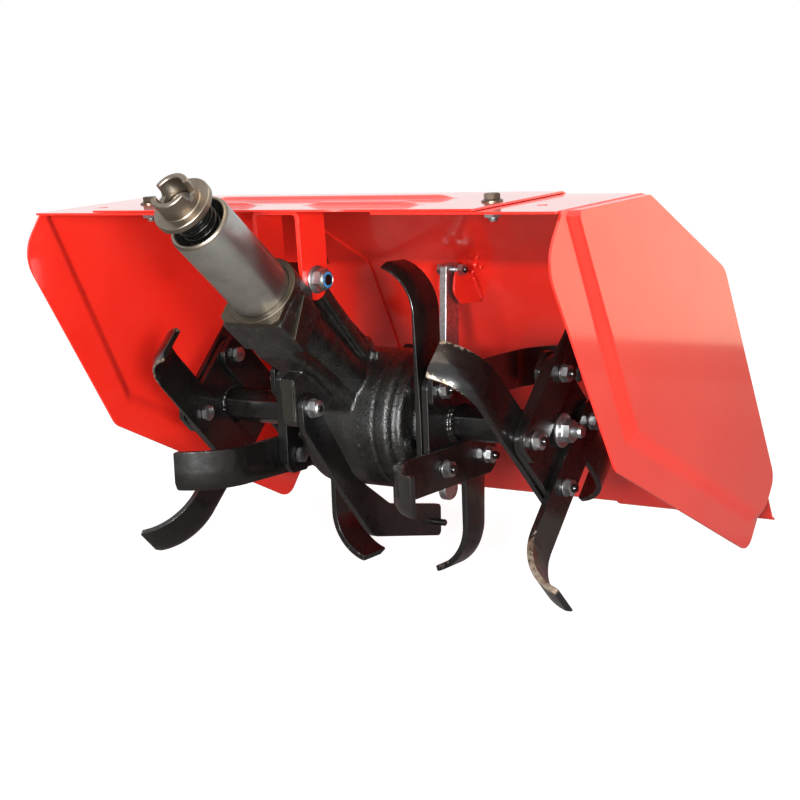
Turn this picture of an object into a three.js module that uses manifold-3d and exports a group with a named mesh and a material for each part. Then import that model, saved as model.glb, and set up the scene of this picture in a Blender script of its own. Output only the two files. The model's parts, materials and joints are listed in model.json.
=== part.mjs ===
// Rotary tiller attachment: sheet hood, cast gearbox with an input neck, and a bladed rotor.
// Millimetres. The machine frame has its origin at the middle of the hood's front edge, +X to the
// right seen from the input end, +Y to the rear and +Z up from the hood's top plate.
// The finished part is then pitched to the way it stands on the ground and put on its base centre.
import * as THREE from 'three';
import { mergeVertices } from 'three/addons/utils/BufferGeometryUtils.js';
import Module from 'manifold-3d';

const wasm = await Module();
wasm.setup();

// ---- driving dimensions --------------------------------------------------------------------
const SEAT = 0.3;                 // gap left where two pieces bear on each other
const RUN = 0.6;                  // radial play of a bolt in its hole or a shaft in its bore
const WELD = 0.2;                 // how far joined solids run into each other
const PITCH = 1.8;                // degrees the machine noses down as it stands
// hood
const HOOD_W = 700;               // over the end plates
const SHEET = 2.5;                // sheet thickness
const TOP_D = 180;                // depth of the flat top plate
const SLOPE_D = 179;              // depth and drop of the slope behind it
const SLOPE_DROP = 98;
const WALL_D = 147;               // depth and drop of the rear wall
const WALL_DROP = 326;
const TOP_BEND = 12;              // radius of the fold behind the top plate
const REAR_BEND = 34;             // and of the fold above the rear wall
const PANEL_SHOW = 100;           // side panel that shows beyond the middle sheet
const LAP = 119;                  // side panel that runs under it
const RIM = 34;                   // flat rim of the end plates
const STEP = 13;                  // width of the sloped band inside the rim
const JOG = 7;                    // how far the band lifts the main panel
// hanger bracket
const HANG_S = 220.4;             // its bolt, along the neck and up from the neck's axis
const HANG_N = 40.1;
const HANG_W = 44;
const HANG_T = 5;
// gearbox and neck
const ROTOR_Y = 183;              // rotor axis behind the hood's front edge
const ROTOR_DROP = 254;           // and below the top plate
const CASE_R = 80;
const CASE_HALF = 60;
const COVER = 11;                 // thickness of each side cover
const HUB = 24;                   // length of each hub past the case
const SHAFT_R = 17;               // output shaft
const SPIGOT_R = 13.7;            // its ends inside the axles
const NECK_ANGLE = 137.7;         // degrees from +Y towards +Z
const NECK_X = -10;               // the neck sits a little to one side
const NECK_HALF = 25;             // half its width at the web
const SHOULDER = 258;             // machined ring the sleeve stands on, from the rotor axis
const SLEEVE_R = 33.5;
const SLEEVE_WALL = 4.5;
const SLEEVE_END = 379;
const SOCKET = 8;                 // how deep the sleeve sits in the ring
const INPUT_R = 14;               // input shaft
const DOG_R = 21.5;
const DOG_FLANGE = 402;           // inner face of the dog's flange
const DOG_END = 431;
const COIL_START = 352;
const WIRE_R = 2;
// rotor
const AXLE_AF = 36;               // hexagonal axle tube, across flats
const FLANGE_T = 8;
const FLANGE_LIP = 20;            // flange material round each bolt
const END_ROOM = 120;             // outer flange to the outside of the end plate
const TUBE_GAP = 6;               // hub to axle
const INNER_STEP = 15;            // end of the axle to the inner flange's outboard face
const OUTER_PHASE = 87.6;         // degrees from +Y towards +Z of each flange's first bolt
const INNER_PHASE = 42.6;
const TINE_T = 7;
const TINE_W = 45;
const TINE_CLEAR = 0.84;          // blade edge to the corner of the axle
const TIP_ROOM = 58.2;            // top plate to the circle of the blade tips
const SWEEP = 75;                 // degrees the tip is bent through
const BEND_IN = 60;               // bend radius of the blades that turn inboard and outboard
const BEND_OUT = 74;
// bolts: shank radius, width across flats, height of the nut
const M8 = { r: 4, af: 13, nut: 7 };
const M10 = { r: 5, af: 17, nut: 10 };
const M14 = { r: 7, af: 22, nut: 12 };

const rad = THREE.MathUtils.degToRad;

// ---- places that follow from them -------------------------------------------------------------
const ROTOR_Z = -ROTOR_DROP;
const SIDE = HOOD_W / 2;
const CENTRE_W = HOOD_W - 2 * PANEL_SHOW;
const PANEL_IN = CENTRE_W / 2 - LAP;             // inner edge of the side panels
const SLOPE_Y = TOP_D + SLOPE_D;
const SLOPE_Z = -SLOPE_DROP;
const WALL_Y = SLOPE_Y + WALL_D;                 // rear wall's lower edge
const WALL_Z = SLOPE_Z - WALL_DROP;
const HOOD_BOLT = [CENTRE_W / 2 - 21, 72];       // x, y
const SPARE_HOLE = [HOOD_BOLT[0] + 63, 61];
const HUB_END = CASE_HALF + HUB;
const TUBE_IN = HUB_END + TUBE_GAP;
const INNER_X = TUBE_IN + INNER_STEP;            // outboard faces of the flanges
const OUTER_X = SIDE - END_ROOM;
const AXLE_CORNER = AXLE_AF / Math.sqrt(3);
const BOLT_CIRCLE = (AXLE_CORNER + TINE_CLEAR + TINE_W / 2) * Math.SQRT2;
const BOLT_PITCH = BOLT_CIRCLE * Math.SQRT2;     // between the two bolts of a blade
const TIP_OFF = BOLT_PITCH / 2 + TINE_W / 2;     // outer corner of a blade tip, across the blade
const REACH = Math.sqrt((ROTOR_DROP - TIP_ROOM) ** 2 - TIP_OFF ** 2) - BOLT_PITCH / 2;  // past the bolt
// a place s along the neck from the rotor axis and n above it
const atNeck = (s, n) => [
  ROTOR_Y + s * Math.cos(rad(NECK_ANGLE)) + n * Math.sin(rad(NECK_ANGLE)),
  ROTOR_Z + s * Math.sin(rad(NECK_ANGLE)) - n * Math.cos(rad(NECK_ANGLE))];
const [HANG_Y, HANG_Z] = atNeck(HANG_S, HANG_N);
const EAR = { y: ROTOR_Y - 147, z: ROTOR_Z + 40, x0: -14, x1: 3.7, r: 19 };  // carries the skid
const LUG = { y: SLOPE_Y - 25, z: SLOPE_Z - 23, x0: 2.5, x1: 12.5, t: 3, play: 4 };
// front edge of the support bar, which leans forward as it goes down
const barFront = (z) => LUG.y - 21.4 + (z - LUG.z) * 0.113;

// ---- materials -----------------------------------------------------------------------------
const paint = new THREE.MeshStandardMaterial({ color: 0xd8201c, roughness: 0.3, metalness: 0 });
const black = new THREE.MeshStandardMaterial({ color: 0x17181a, roughness: 0.4, metalness: 0 });
const cast = new THREE.MeshStandardMaterial({ color: 0x1e1f20, roughness: 0.7, metalness: 0 });
const steel = new THREE.MeshStandardMaterial({ color: 0x8a8880, roughness: 0.35, metalness: 1 });
const zinc = new THREE.MeshStandardMaterial({ color: 0xb9bcc0, roughness: 0.3, metalness: 1 });

// ---- solids --------------------------------------------------------------------------------
function solid(geometry) {
  const g = geometry.clone();
  g.deleteAttribute('normal');
  g.deleteAttribute('uv');
  const m = mergeVertices(g, 1e-4);
  return new wasm.Manifold(new wasm.Mesh({
    numProp: 3,
    vertProperties: new Float32Array(m.attributes.position.array),
    triVerts: new Uint32Array(m.index.array),
  }));
}
const joined = (...parts) => parts.reduce((a, b) => a.add(b));
const cut = (body, ...tools) => tools.reduce((a, b) => a.subtract(b), body);

const group = new THREE.Group();
group.name = 'rotavator';
function put(name, body, material) {
  const mesh = body.getMesh();
  const g = new THREE.BufferGeometry();
  g.setAttribute('position', new THREE.BufferAttribute(new Float32Array(mesh.vertProperties), 3));
  g.setIndex(new THREE.BufferAttribute(new Uint32Array(mesh.triVerts), 1));
  g.computeVertexNormals();
  const node = new THREE.Mesh(g, material);
  node.name = name;
  group.add(node);
}

// an outline of [y, z] points, extruded from x0 to x1
const FROM_YZ = new THREE.Matrix4().set(0, 0, 1, 0, 1, 0, 0, 0, 0, 1, 0, 0, 0, 0, 0, 1);
function slab(points, x0, x1) {
  const shape = new THREE.Shape(points.map(([y, z]) => new THREE.Vector2(y, z)));
  const g = new THREE.ExtrudeGeometry(shape, { depth: x1 - x0, bevelEnabled: false });
  return g.applyMatrix4(FROM_YZ).translate(x0, 0, 0);
}
// the arc of radius r that rounds corner p between its neighbours a and b
function arcAt(a, p, b, r, steps) {
  const corner = new THREE.Vector2(p[0], p[1]);
  const u = new THREE.Vector2(a[0], a[1]).sub(corner);
  const v = new THREE.Vector2(b[0], b[1]).sub(corner);
  const room = 0.49 * Math.min(u.length(), v.length());
  u.normalize();
  v.normalize();
  const half = Math.acos(THREE.MathUtils.clamp(u.dot(v), -1, 1)) / 2;
  const back = Math.min(r / Math.tan(half), room);
  const radius = back * Math.tan(half);
  const centre = u.clone().add(v).normalize().multiplyScalar(radius / Math.sin(half)).add(corner);
  const from = corner.clone().addScaledVector(u, back).sub(centre).angle();
  const to = corner.clone().addScaledVector(v, back).sub(centre).angle();
  const turn = THREE.MathUtils.euclideanModulo(to - from + Math.PI, 2 * Math.PI) - Math.PI;
  return Array.from({ length: steps + 1 }, (_, k) => {
    const t = from + turn * k / steps;
    return [centre.x + radius * Math.cos(t), centre.y + radius * Math.sin(t)];
  });
}
// rounds the corners of an outline of [y, z, radius]; the ends of a line have no radius
function rounded(corners, steps = 4) {
  const n = corners.length;
  return corners.flatMap((p, i) => (p[2]
    ? arcAt(corners[(i + n - 1) % n], p, corners[(i + 1) % n], p[2], steps) : [[p[0], p[1]]]));
}
// a bent sheet: the outline between two offsets of a line
function bent(line, inner, outer) {
  const heading = (i) => new THREE.Vector2(line[i + 1][0] - line[i][0], line[i + 1][1] - line[i][1])
    .normalize();
  const last = line.length - 1;
  const side = (off) => line.map((p, i) => {
    const before = heading(Math.max(i - 1, 0));
    const after = heading(Math.min(i, last - 1));
    const d = before.clone().add(after).normalize();
    const k = off / d.dot(before);
    return [p[0] - d.y * k, p[1] + d.x * k];
  });
  return [...side(inner), ...side(outer).reverse()];
}
// the solid between one outline at x0 and another, with as many points, at x1
function loft(a, b, x0, x1) {
  const n = a.length;
  const pos = [];
  const index = [];
  a.forEach(([y, z]) => pos.push(x0, y, z));
  b.forEach(([y, z]) => pos.push(x1, y, z));
  for (let i = 0; i < n; i++) {
    const j = (i + 1) % n;
    index.push(i, j, n + j, i, n + j, n + i);
  }
  const cap = (pts) => THREE.ShapeUtils.triangulateShape(pts.map(([y, z]) => new THREE.Vector2(y, z)), []);
  for (const [p, q, r] of cap(a)) index.push(r, q, p);
  for (const [p, q, r] of cap(b)) index.push(n + p, n + q, n + r);
  const g = new THREE.BufferGeometry();
  g.setAttribute('position', new THREE.Float32BufferAttribute(pos, 3));
  g.setIndex(index);
  return g;
}
// the same shape on the other side of x = 0
function mirrored(g) {
  const m = g.clone().scale(-1, 1, 1);
  if (!m.index) m.setIndex([...Array(m.attributes.position.count).keys()]);
  turnFaces(m.index.array);
  return m;
}
function turnFaces(index) {
  for (let i = 0; i < index.length; i += 3) [index[i], index[i + 1]] = [index[i + 1], index[i]];
}
const barX = (r, x0, x1, y, z, n = 24) => new THREE.CylinderGeometry(r, r, x1 - x0, n)
  .rotateZ(-Math.PI / 2).translate((x0 + x1) / 2, y, z);
const barZ = (r, z0, z1, x, y, n = 24) => new THREE.CylinderGeometry(r, r, z1 - z0, n)
  .rotateX(Math.PI / 2).translate(x, y, (z0 + z1) / 2);
const block = (x0, x1, y0, y1, z0, z1) => new THREE.BoxGeometry(x1 - x0, y1 - y0, z1 - z0)
  .translate((x0 + x1) / 2, (y0 + y1) / 2, (z0 + z1) / 2);
// a hexagon nut or head along X, by its width across flats
const hexX = (af, x0, x1, y, z) => barX(af / Math.sqrt(3), x0, x1, y, z, 6);
// a bolt along X with its head ending at head and its nut starting at nut
const boltX = (size, head, nut, y, z) => joined(
  solid(barX(size.r, head - WELD, nut + size.nut + 0.6 * size.r, y, z, 16)),
  solid(hexX(size.af, head - 1.4 * size.r, head, y, z)),
  solid(hexX(size.af, nut, nut + size.nut, y, z)));

// ---- hood ----------------------------------------------------------------------------------
const LIP = 7;
const FOLD = rounded([[0, 0], [TOP_D, 0, TOP_BEND], [SLOPE_Y, SLOPE_Z, REAR_BEND], [WALL_Y, WALL_Z],
  [WALL_Y + LIP, WALL_Z - LIP / 2]]);

// middle sheet with its pressed ribs, its two bolts and their nuts
function centreSheet() {
  const top = SEAT + SHEET;
  const under = -SHEET - SEAT;
  const RISE = 3;
  const rib = (x0, x1, y, w) => {
    const section = [[y - w / 2, 0], [y + w / 2, 0], [y + w / 4, RISE], [y - w / 4, RISE]];
    return solid(slab(section, x0, x1).translate(0, 0, top - WELD));
  };
  const [bx, by] = HOOD_BOLT;
  const bolt = (x) => joined(
    solid(barZ(M10.r, under - M10.nut - 13, top + 1, x, by)),
    solid(barZ(11, top - WELD, top + 2, x, by)),
    solid(barZ(8, top + 2 - WELD, top + 9, x, by, 6)),
    solid(barZ(M10.af / Math.sqrt(3), under - M10.nut, under, x, by, 6)));
  const long = CENTRE_W / 2 - 85;
  put('hood_centre_sheet', joined(solid(slab(bent(FOLD, SEAT, top), -CENTRE_W / 2, CENTRE_W / 2)),
    rib(-long, long, 108, 16), rib(NECK_X + 27, long, 42, 14), rib(-long, NECK_X - 32, 42, 14),
    bolt(-bx), bolt(bx)), paint);
}

// moves each edge of an outline inwards by its own distance
function inset(points, edges) {
  const n = points.length;
  const lines = points.map((p, i) => {
    const q = points[(i + 1) % n];
    const d = new THREE.Vector2(q[0] - p[0], q[1] - p[1]).normalize();
    return { x: p[0] + d.y * edges[i], y: p[1] - d.x * edges[i], d };
  });
  return points.map((p, i) => {
    const a = lines[(i + n - 1) % n];
    const b = lines[i];
    const k = ((b.x - a.x) * b.d.y - (b.y - a.y) * b.d.x) / (a.d.x * b.d.y - a.d.y * b.d.x);
    return [a.x + a.d.x * k, a.y + a.d.y * k, p[2]];
  });
}

// end plate outline, clockwise seen from +X: top, slope, rear, lower rear, lower and front edges;
// its upper edges stop a little below the outside of the sheet they are welded to
const EDGE = 0.6;
const END = inset([[9, 0, 6], [TOP_D, 0, TOP_BEND], [SLOPE_Y, SLOPE_Z, REAR_BEND],
  [WALL_Y - 15, WALL_Z + 54, 22], [WALL_Y - 84, WALL_Z - 20, 24], [96, ROTOR_Z - 16, 26],
  [-26, -45, 60]], [EDGE, EDGE, 0, 0, 0, 0, 0]);
const RIM_FACE = SIDE - JOG;                     // outside of the end plates' rim

// side panel that slides under the middle sheet
function sidePanel(side, onSide) {
  const hole = ([x, y]) => onSide(barZ(M10.r + RUN, -2 * SHEET, SHEET, x, y));
  const sheet = slab(bent(FOLD, -SHEET, 0), PANEL_IN, RIM_FACE - SHEET - SEAT);
  put(`hood_side_${side}`, cut(onSide(sheet), hole(HOOD_BOLT), hole(SPARE_HOLE)), paint);
}

// end plate: its main panel is pressed outwards inside a flat rim along the front and lower edges,
// and the band between them runs straight down from the top front corner
function endPlate(side, onSide) {
  const ring = (edge, past, corner) => {
    const out = inset(END, [edge, edge, edge, edge, RIM + past, RIM + past, edge]).slice(0, 6);
    out[0][0] += corner;
    out[5][2] = 12;
    return rounded(out).reverse();
  };
  const low = ring(EDGE, 0, 2);
  const high = ring(2 * EDGE, STEP, 2 + STEP);
  const pressing = loft(low, high, RIM_FACE - SHEET / 2, SIDE);
  const plate = slab(rounded(END).reverse(), RIM_FACE - SHEET, RIM_FACE);
  put(`end_plate_${side}`, cut(joined(onSide(plate), onSide(pressing)),
    onSide(pressing.clone().translate(-SHEET, 0, 0))), paint);
}

// ---- hanger bracket between the hood and the neck --------------------------------------------
function hangerBracket() {
  const inner = NECK_HALF + 1;
  const outer = inner + HANG_T;
  const [y0, y1] = [HANG_Y - HANG_W / 2, HANG_Y + HANG_W / 2];
  const foot = HANG_W / 2 - WELD;
  const leg = (x0) => solid(slab(rounded([[y0, -1], [y0, HANG_Z - HANG_W / 2, foot],
    [y1, HANG_Z - HANG_W / 2, foot], [y1, -1]], 8), x0, x0 + HANG_T));
  const left = NECK_X - outer;
  const right = NECK_X + outer;
  const WASHER = 2.6;
  put('hanger_bracket', joined(solid(block(left, right, y0, y1, -HANG_T, 0)), leg(left), leg(right - HANG_T),
    boltX(M14, left + WELD, right + WASHER - WELD, HANG_Y, HANG_Z),
    solid(barX(15, right - WELD, right + WASHER, HANG_Y, HANG_Z))), paint);
}

// ---- gearbox ---------------------------------------------------------------------------------
// the neck's own frame: z runs out along the neck from the rotor axis, y is up and rearwards
const NECK = new THREE.Matrix4().makeTranslation(NECK_X, ROTOR_Y, ROTOR_Z)
  .multiply(new THREE.Matrix4().makeRotationX(rad(NECK_ANGLE - 90)));
const onNeck = (g) => solid(g.applyMatrix4(NECK));
const rod = (r, s0, s1, n = 32) => new THREE.CylinderGeometry(r, r, s1 - s0, n)
  .rotateX(Math.PI / 2).translate(0, 0, (s0 + s1) / 2);
const neckBlock = (half, n0, n1, s0, s1) => block(-half, half, n0, n1, s0, s1);

function gearbox() {
  const onAxis = (r, end, n = 48) => solid(barX(r, -end, end, ROTOR_Y, ROTOR_Z, n));
  // web of the neck, [s, n, corner radius]
  const side = [[40, -34], [150, -38, 10], [197, -46, 10], [SHOULDER - 13, -36], [SHOULDER - 13, 20],
    [236, 56, 14], [206, 56, 14], [130, 50, 10], [60, 50], [40, 30]];
  const web = slab(rounded(side).map(([s, n]) => [n, s]), -NECK_HALF, NECK_HALF);
  const ear = slab(rounded([[EAR.y - EAR.r, EAR.z + 34], [EAR.y - EAR.r, EAR.z - EAR.r, 9],
    [EAR.y + EAR.r, EAR.z - EAR.r, 9], [EAR.y + 80, EAR.z + 10], [EAR.y + 60, EAR.z + 60]]), EAR.x0, EAR.x1);
  const plug = new THREE.CylinderGeometry(11, 11, 14, 24).translate(0, CASE_R + 3, 0)
    .rotateX(rad(-39)).translate(8, ROTOR_Y, ROTOR_Z);
  const ring = SLEEVE_R + 8;
  const body = joined(
    onAxis(CASE_R, CASE_HALF), onAxis(CASE_R - 10, CASE_HALF + COVER), onAxis(46, HUB_END, 36),
    onNeck(rod(31, 36, SHOULDER - 14)),
    onNeck(web),
    onNeck(neckBlock(40, -40, 12, SHOULDER - 57, SHOULDER - 11)),
    onNeck(rod(ring, SHOULDER - 12, SHOULDER, 48)),
    onNeck(neckBlock(ring - 2.5, 1 - ring, -3, SHOULDER - 12.4, SHOULDER - 1)),
    solid(barX(18, NECK_X - NECK_HALF, NECK_X + NECK_HALF, HANG_Y, HANG_Z)),
    solid(ear), solid(plug));
  put('gearbox_case', cut(body,
    onAxis(SHAFT_R + RUN, HUB_END + 10, 24),
    onNeck(rod(INPUT_R + RUN, SHOULDER - 32, SHOULDER + 10)),
    onNeck(rod(SLEEVE_R + SEAT, SHOULDER - SOCKET, SHOULDER + 10, 48)),
    solid(barX(M14.r + RUN, NECK_X - 2 * NECK_HALF, NECK_X + 2 * NECK_HALF, HANG_Y, HANG_Z)),
    solid(barX(M10.r + RUN, EAR.x0 - 10, EAR.x1 + 10, EAR.y, EAR.z))), cast);
}

function inputSleeve() {
  put('input_sleeve', cut(onNeck(rod(SLEEVE_R, SHOULDER - SOCKET + SEAT, SLEEVE_END, 48)),
    onNeck(rod(SLEEVE_R - SLEEVE_WALL, SHOULDER - 2 * SOCKET, SLEEVE_END + 10, 40))), steel);
}

// ---- skid below the gearbox --------------------------------------------------------------------
function skid() {
  const THICK = 8;
  const x0 = EAR.x1 + SEAT;
  const x1 = x0 + THICK;
  // a place round the case, at an angle and a distance off it
  const off = (deg, gap, r) => [ROTOR_Y + (CASE_R + gap) * Math.cos(rad(deg)),
    ROTOR_Z + (CASE_R + gap) * Math.sin(rad(deg)), r];
  const pinZ = ROTOR_Z - 146;
  const end = barFront(pinZ) - 8;
  const outline = rounded([[EAR.y - 16, EAR.z + 16, 14], [EAR.y - 16, EAR.z - 20, 30],
    off(212, 40, 40), off(249, 59, 30), [end - 1, pinZ - 20, 6], [end + 2, pinZ + 19, 6],
    off(263, 21, 30), off(212, 14, 40), [EAR.y + 18, EAR.z - 10, 30], [EAR.y + 16, EAR.z + 16, 14]]);
  put('depth_skid', joined(solid(slab(outline, x0, x1)),
    boltX(M10, EAR.x0 - SEAT, x1 - WELD, EAR.y, EAR.z),
    solid(barX(M8.r, x0 - 8, x1 + 14, end - 11, pinZ, 16))), black);
}

// ---- rear lug and support bar ------------------------------------------------------------------
// inside face of the rear wall, less the gap at the lug
const wallAt = (z) => SLOPE_Y - (z - SLOPE_Z) * WALL_D / WALL_DROP - SEAT;

function rearLug() {
  const { y, z, x0, x1, t, play } = LUG;
  const near = x0 - play;
  const far = x1 + play;
  // both lie on the wall from just below its fold
  const top = z + 8;
  const low = z - 29;
  const ear = (x) => solid(slab(rounded([[wallAt(top), top], [y - 8, z + 18, 8], [y - 16, z - 8, 12],
    [y, z - 25, 10], [wallAt(low), low]]), x, x + t));
  const back = slab([[wallAt(top - 1), top - 1], [wallAt(top - 1) - t, top - 2],
    [wallAt(low + 1) - t, low + 1], [wallAt(low + 1), low + 1]], near - t, far + t);
  put('rear_lug', joined(ear(near - t), ear(far), solid(back),
    boltX(M8, near - t + WELD, far + t - WELD, y, z)), paint);
}

function supportBar() {
  const WIDE = 30;
  const top = LUG.z + 25;
  const low = LUG.z - 261;
  put('support_bar', cut(solid(slab(rounded([[barFront(top), top, 4], [barFront(low), low, 14],
    [barFront(low) + WIDE, low, 14], [barFront(top) + WIDE, top, 4]]), LUG.x0, LUG.x1)),
  solid(barX(M8.r + RUN, LUG.x0 - 10, LUG.x1 + 10, LUG.y, LUG.z))), zinc);
}

// ---- rotor -------------------------------------------------------------------------------------
const polar = (deg, r) => [r * Math.cos(rad(deg)), r * Math.sin(rad(deg))];
const fromAxis = (deg, r) => [ROTOR_Y + polar(deg, r)[0], ROTOR_Z + polar(deg, r)[1]];
const QUARTERS = [0, 90, 180, 270];

// a square flange with rounded corners, one round each bolt
function flange(x0, phase) {
  const corners = QUARTERS.flatMap((q) => {
    const [y, z] = fromAxis(phase + q, BOLT_CIRCLE);
    return [-40, 0, 40].map((turn) => {
      const [dy, dz] = polar(phase + q + turn, FLANGE_LIP);
      return [y + dy, z + dz];
    });
  });
  return solid(slab(corners, x0, x0 + FLANGE_T));
}

function outputShaft() {
  put('output_shaft', joined(solid(barX(SHAFT_R, 2 - TUBE_IN, TUBE_IN - 2, ROTOR_Y, ROTOR_Z)),
    solid(barX(SPIGOT_R, -TUBE_IN - 40, TUBE_IN + 40, ROTOR_Y, ROTOR_Z))), steel);
}

// hexagonal tube over the output shaft's end, with its end bolt
function axle(side, span) {
  const onAxis = (r, a, b) => solid(barX(r, ...span(a, b), ROTOR_Y, ROTOR_Z));
  const tubeEnd = OUTER_X + 4;
  put(`axle_${side}`, cut(solid(hexX(AXLE_AF, ...span(TUBE_IN, tubeEnd), ROTOR_Y, ROTOR_Z)),
    onAxis(SPIGOT_R + SEAT, TUBE_IN - 10, TUBE_IN + 45),
    onAxis(M14.r + RUN, TUBE_IN + 40, tubeEnd + 10)), black);
  const face = tubeEnd + SEAT;
  const WASHER = 3;
  put(`axle_end_bolt_${side}`, joined(
    onAxis(AXLE_AF / 2, face, face + WASHER),
    solid(hexX(M14.af, ...span(face + WASHER - WELD, face + WASHER + M14.nut), ROTOR_Y, ROTOR_Z)),
    onAxis(M14.r, face - 40, face + WASHER + M14.nut + 11)), zinc);
}

// flange round the axle, with the bolts and nuts of the blades on its two faces
function bladeFlange(side, span, row, x, phase) {
  const head = x - FLANGE_T - TINE_T - 2 * SEAT;
  const nut = x + TINE_T + 2 * SEAT;
  const bolts = QUARTERS.map((q) => {
    const [y, z] = fromAxis(phase + q, BOLT_CIRCLE);
    return joined(solid(barX(M10.r, ...span(head - WELD, nut + M10.nut + 4), y, z, 8)),
      solid(hexX(M10.af, ...span(head - 6, head), y, z)),
      solid(hexX(M10.af, ...span(nut, nut + M10.nut), y, z)));
  });
  put(`blade_flange_${side}_${row}`, cut(joined(flange(span(x - FLANGE_T, x)[0], phase), ...bolts),
    solid(hexX(AXLE_AF + 2 * SEAT, ...span(x - 2 * FLANGE_T, x + FLANGE_T), ROTOR_Y, ROTOR_Z))), black);
}

// A blade lies on the flange at x = face past its two bolts, then curves away to the side out.
// u runs along the blade from the first bolt, v across it and w through its thickness.
function blade(face, out, phase, bendR) {
  const sweep = rad(SWEEP);
  const flatEnd = BOLT_PITCH + REACH - bendR * Math.sin(sweep);
  const ROUND = 20;                          // blade end behind the first bolt
  const EDGE = 9;                            // width of the ground edge
  const BENDS = 8;
  const us = [-ROUND, -0.8 * ROUND, -0.4 * ROUND, BOLT_PITCH / 2, BOLT_PITCH + 14];
  const widths = [0.55, 0.8];                // of the first stations, as the end is rounded
  for (let k = 0; k <= BENDS; k++) us.push(flatEnd + bendR * sweep * k / BENDS);
  const g = new THREE.BoxGeometry(1, 1, 1, us.length - 1, 2, 1);
  const p = g.attributes.position;
  const bolt = polar(phase + 90, BOLT_CIRCLE);
  const along = polar(phase - 45, 1);
  const across = polar(phase + 45, 1);
  for (let i = 0; i < p.count; i++) {
    const station = Math.round((p.getX(i) + 0.5) * (us.length - 1));
    const edge = Math.round(p.getY(i) * 2);
    const u = us[station];
    const h = (widths[station] ?? 1) * TINE_W / 2;
    const v = [-h, h - EDGE, h][edge + 1];
    const ground = edge > 0 && u > BOLT_PITCH + 20;
    const low = ground ? 0.65 * TINE_T : 0;
    const w = p.getZ(i) > 0 ? TINE_T : low;
    const turn = Math.max(0, (u - flatEnd) / bendR);
    const reach = Math.min(u, flatEnd) + (bendR - w) * Math.sin(turn);
    const lift = bendR - (bendR - w) * Math.cos(turn);
    p.setXYZ(i, face + out * lift, ROTOR_Y + bolt[0] + along[0] * reach + across[0] * v,
      ROTOR_Z + bolt[1] + along[1] * reach + across[1] * v);
  }
  if (out < 0) turnFaces(g.index.array);     // the map flips the box on this side
  return solid(g);
}

// each flange carries four blades, by turns on its outboard and its inboard face
function tines(side, s, row, x, phase) {
  QUARTERS.forEach((q, k) => {
    const outboard = k % 2 === 0;
    const out = outboard ? s : -s;
    const face = s * (outboard ? x + SEAT : x - FLANGE_T - SEAT);
    const far = face + out * TINE_T;
    const holes = [q, q + 90].map((turn) => solid(barX(M10.r + RUN, Math.min(face, far) - 2,
      Math.max(face, far) + 2, ...fromAxis(phase + turn, BOLT_CIRCLE), 8)));
    put(`tine_${side}_${row}_${k + 1}`,
      cut(blade(face, out, phase + q, outboard ? BEND_OUT : BEND_IN), ...holes), black);
  });
}

// ---- input shaft, clutch dog and spring ----------------------------------------------------------
function inputDrive() {
  const FLANGE = 7;
  const flangeEnd = DOG_FLANGE + FLANGE;
  put('input_shaft', joined(onNeck(rod(INPUT_R, SHOULDER - 30, flangeEnd + 2)),
    onNeck(rod(INPUT_R + 8, COIL_START - WIRE_R - SEAT - 12, COIL_START - WIRE_R - SEAT))), steel);
  const notch = (turn) => onNeck(new THREE.BoxGeometry(18, 16, 14).translate(0, DOG_R - 3.5, DOG_END - 6.5)
    .rotateZ(turn));
  put('clutch_dog', cut(
    joined(onNeck(rod(SLEEVE_R - 1.5, DOG_FLANGE, flangeEnd, 48)),
      onNeck(rod(DOG_R, flangeEnd - WELD, DOG_END, 48))),
    onNeck(rod(INPUT_R + SEAT, DOG_FLANGE - 5, DOG_END)),
    onNeck(rod(DOG_R - 6, flangeEnd + 4, DOG_END + 5, 40)),
    notch(rad(96)), notch(rad(276))), steel);
  const TURNS = 6;
  const coilR = INPUT_R + RUN + WIRE_R + 2.9;
  const coilEnd = DOG_FLANGE - WIRE_R - SEAT;
  class Coil extends THREE.Curve {
    getPoint(t, v = new THREE.Vector3()) {
      const a = t * Math.PI * 2 * TURNS;
      return v.set(coilR * Math.cos(a), coilR * Math.sin(a), COIL_START + t * (coilEnd - COIL_START));
    }
  }
  const wire = new THREE.Shape();
  wire.absarc(0, 0, WIRE_R, 0, Math.PI * 2, false);
  put('clutch_spring', onNeck(new THREE.ExtrudeGeometry(wire,
    { steps: 13 * TURNS, bevelEnabled: false, extrudePath: new Coil(), curveSegments: 3 })), black);
}

// ---- the whole machine ---------------------------------------------------------------------------
centreSheet();
hangerBracket();
gearbox();
inputSleeve();
skid();
rearLug();
supportBar();
outputShaft();
for (const [side, s] of [['right', 1], ['left', -1]]) {
  const onSide = (g) => solid(s > 0 ? g : mirrored(g));
  const span = (a, b) => (s > 0 ? [a, b] : [-b, -a]);
  sidePanel(side, onSide);
  endPlate(side, onSide);
  axle(side, span);
  for (const [row, x, phase] of [['outer', OUTER_X, OUTER_PHASE], ['inner', INNER_X, INNER_PHASE]]) {
    bladeFlange(side, span, row, x, phase);
    tines(side, s, row, x, phase);
  }
}
inputDrive();

// stand it on the ground
const tip = new THREE.Matrix4().makeRotationX(rad(PITCH));
const box = new THREE.Box3();
for (const node of group.children) {
  node.geometry.applyMatrix4(tip);
  node.geometry.computeBoundingBox();
  box.union(node.geometry.boundingBox);
}
const mid = box.getCenter(new THREE.Vector3());
for (const node of group.children) node.geometry.translate(-mid.x, -mid.y, -box.min.z);

export default group;
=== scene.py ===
"""Rotary tiller attachment: the finish of every piece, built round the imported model.

Pieces are drawn in machine millimetres, with the origin at the middle of the hood's front edge,
x along the rotor, y to the rear and z up from the top plate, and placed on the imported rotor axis.
"""
import json
from math import acos, atan2, cos, degrees, hypot, pi, radians, sin, sqrt, tan

import bmesh
import bpy
from mathutils import Matrix, Vector


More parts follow.
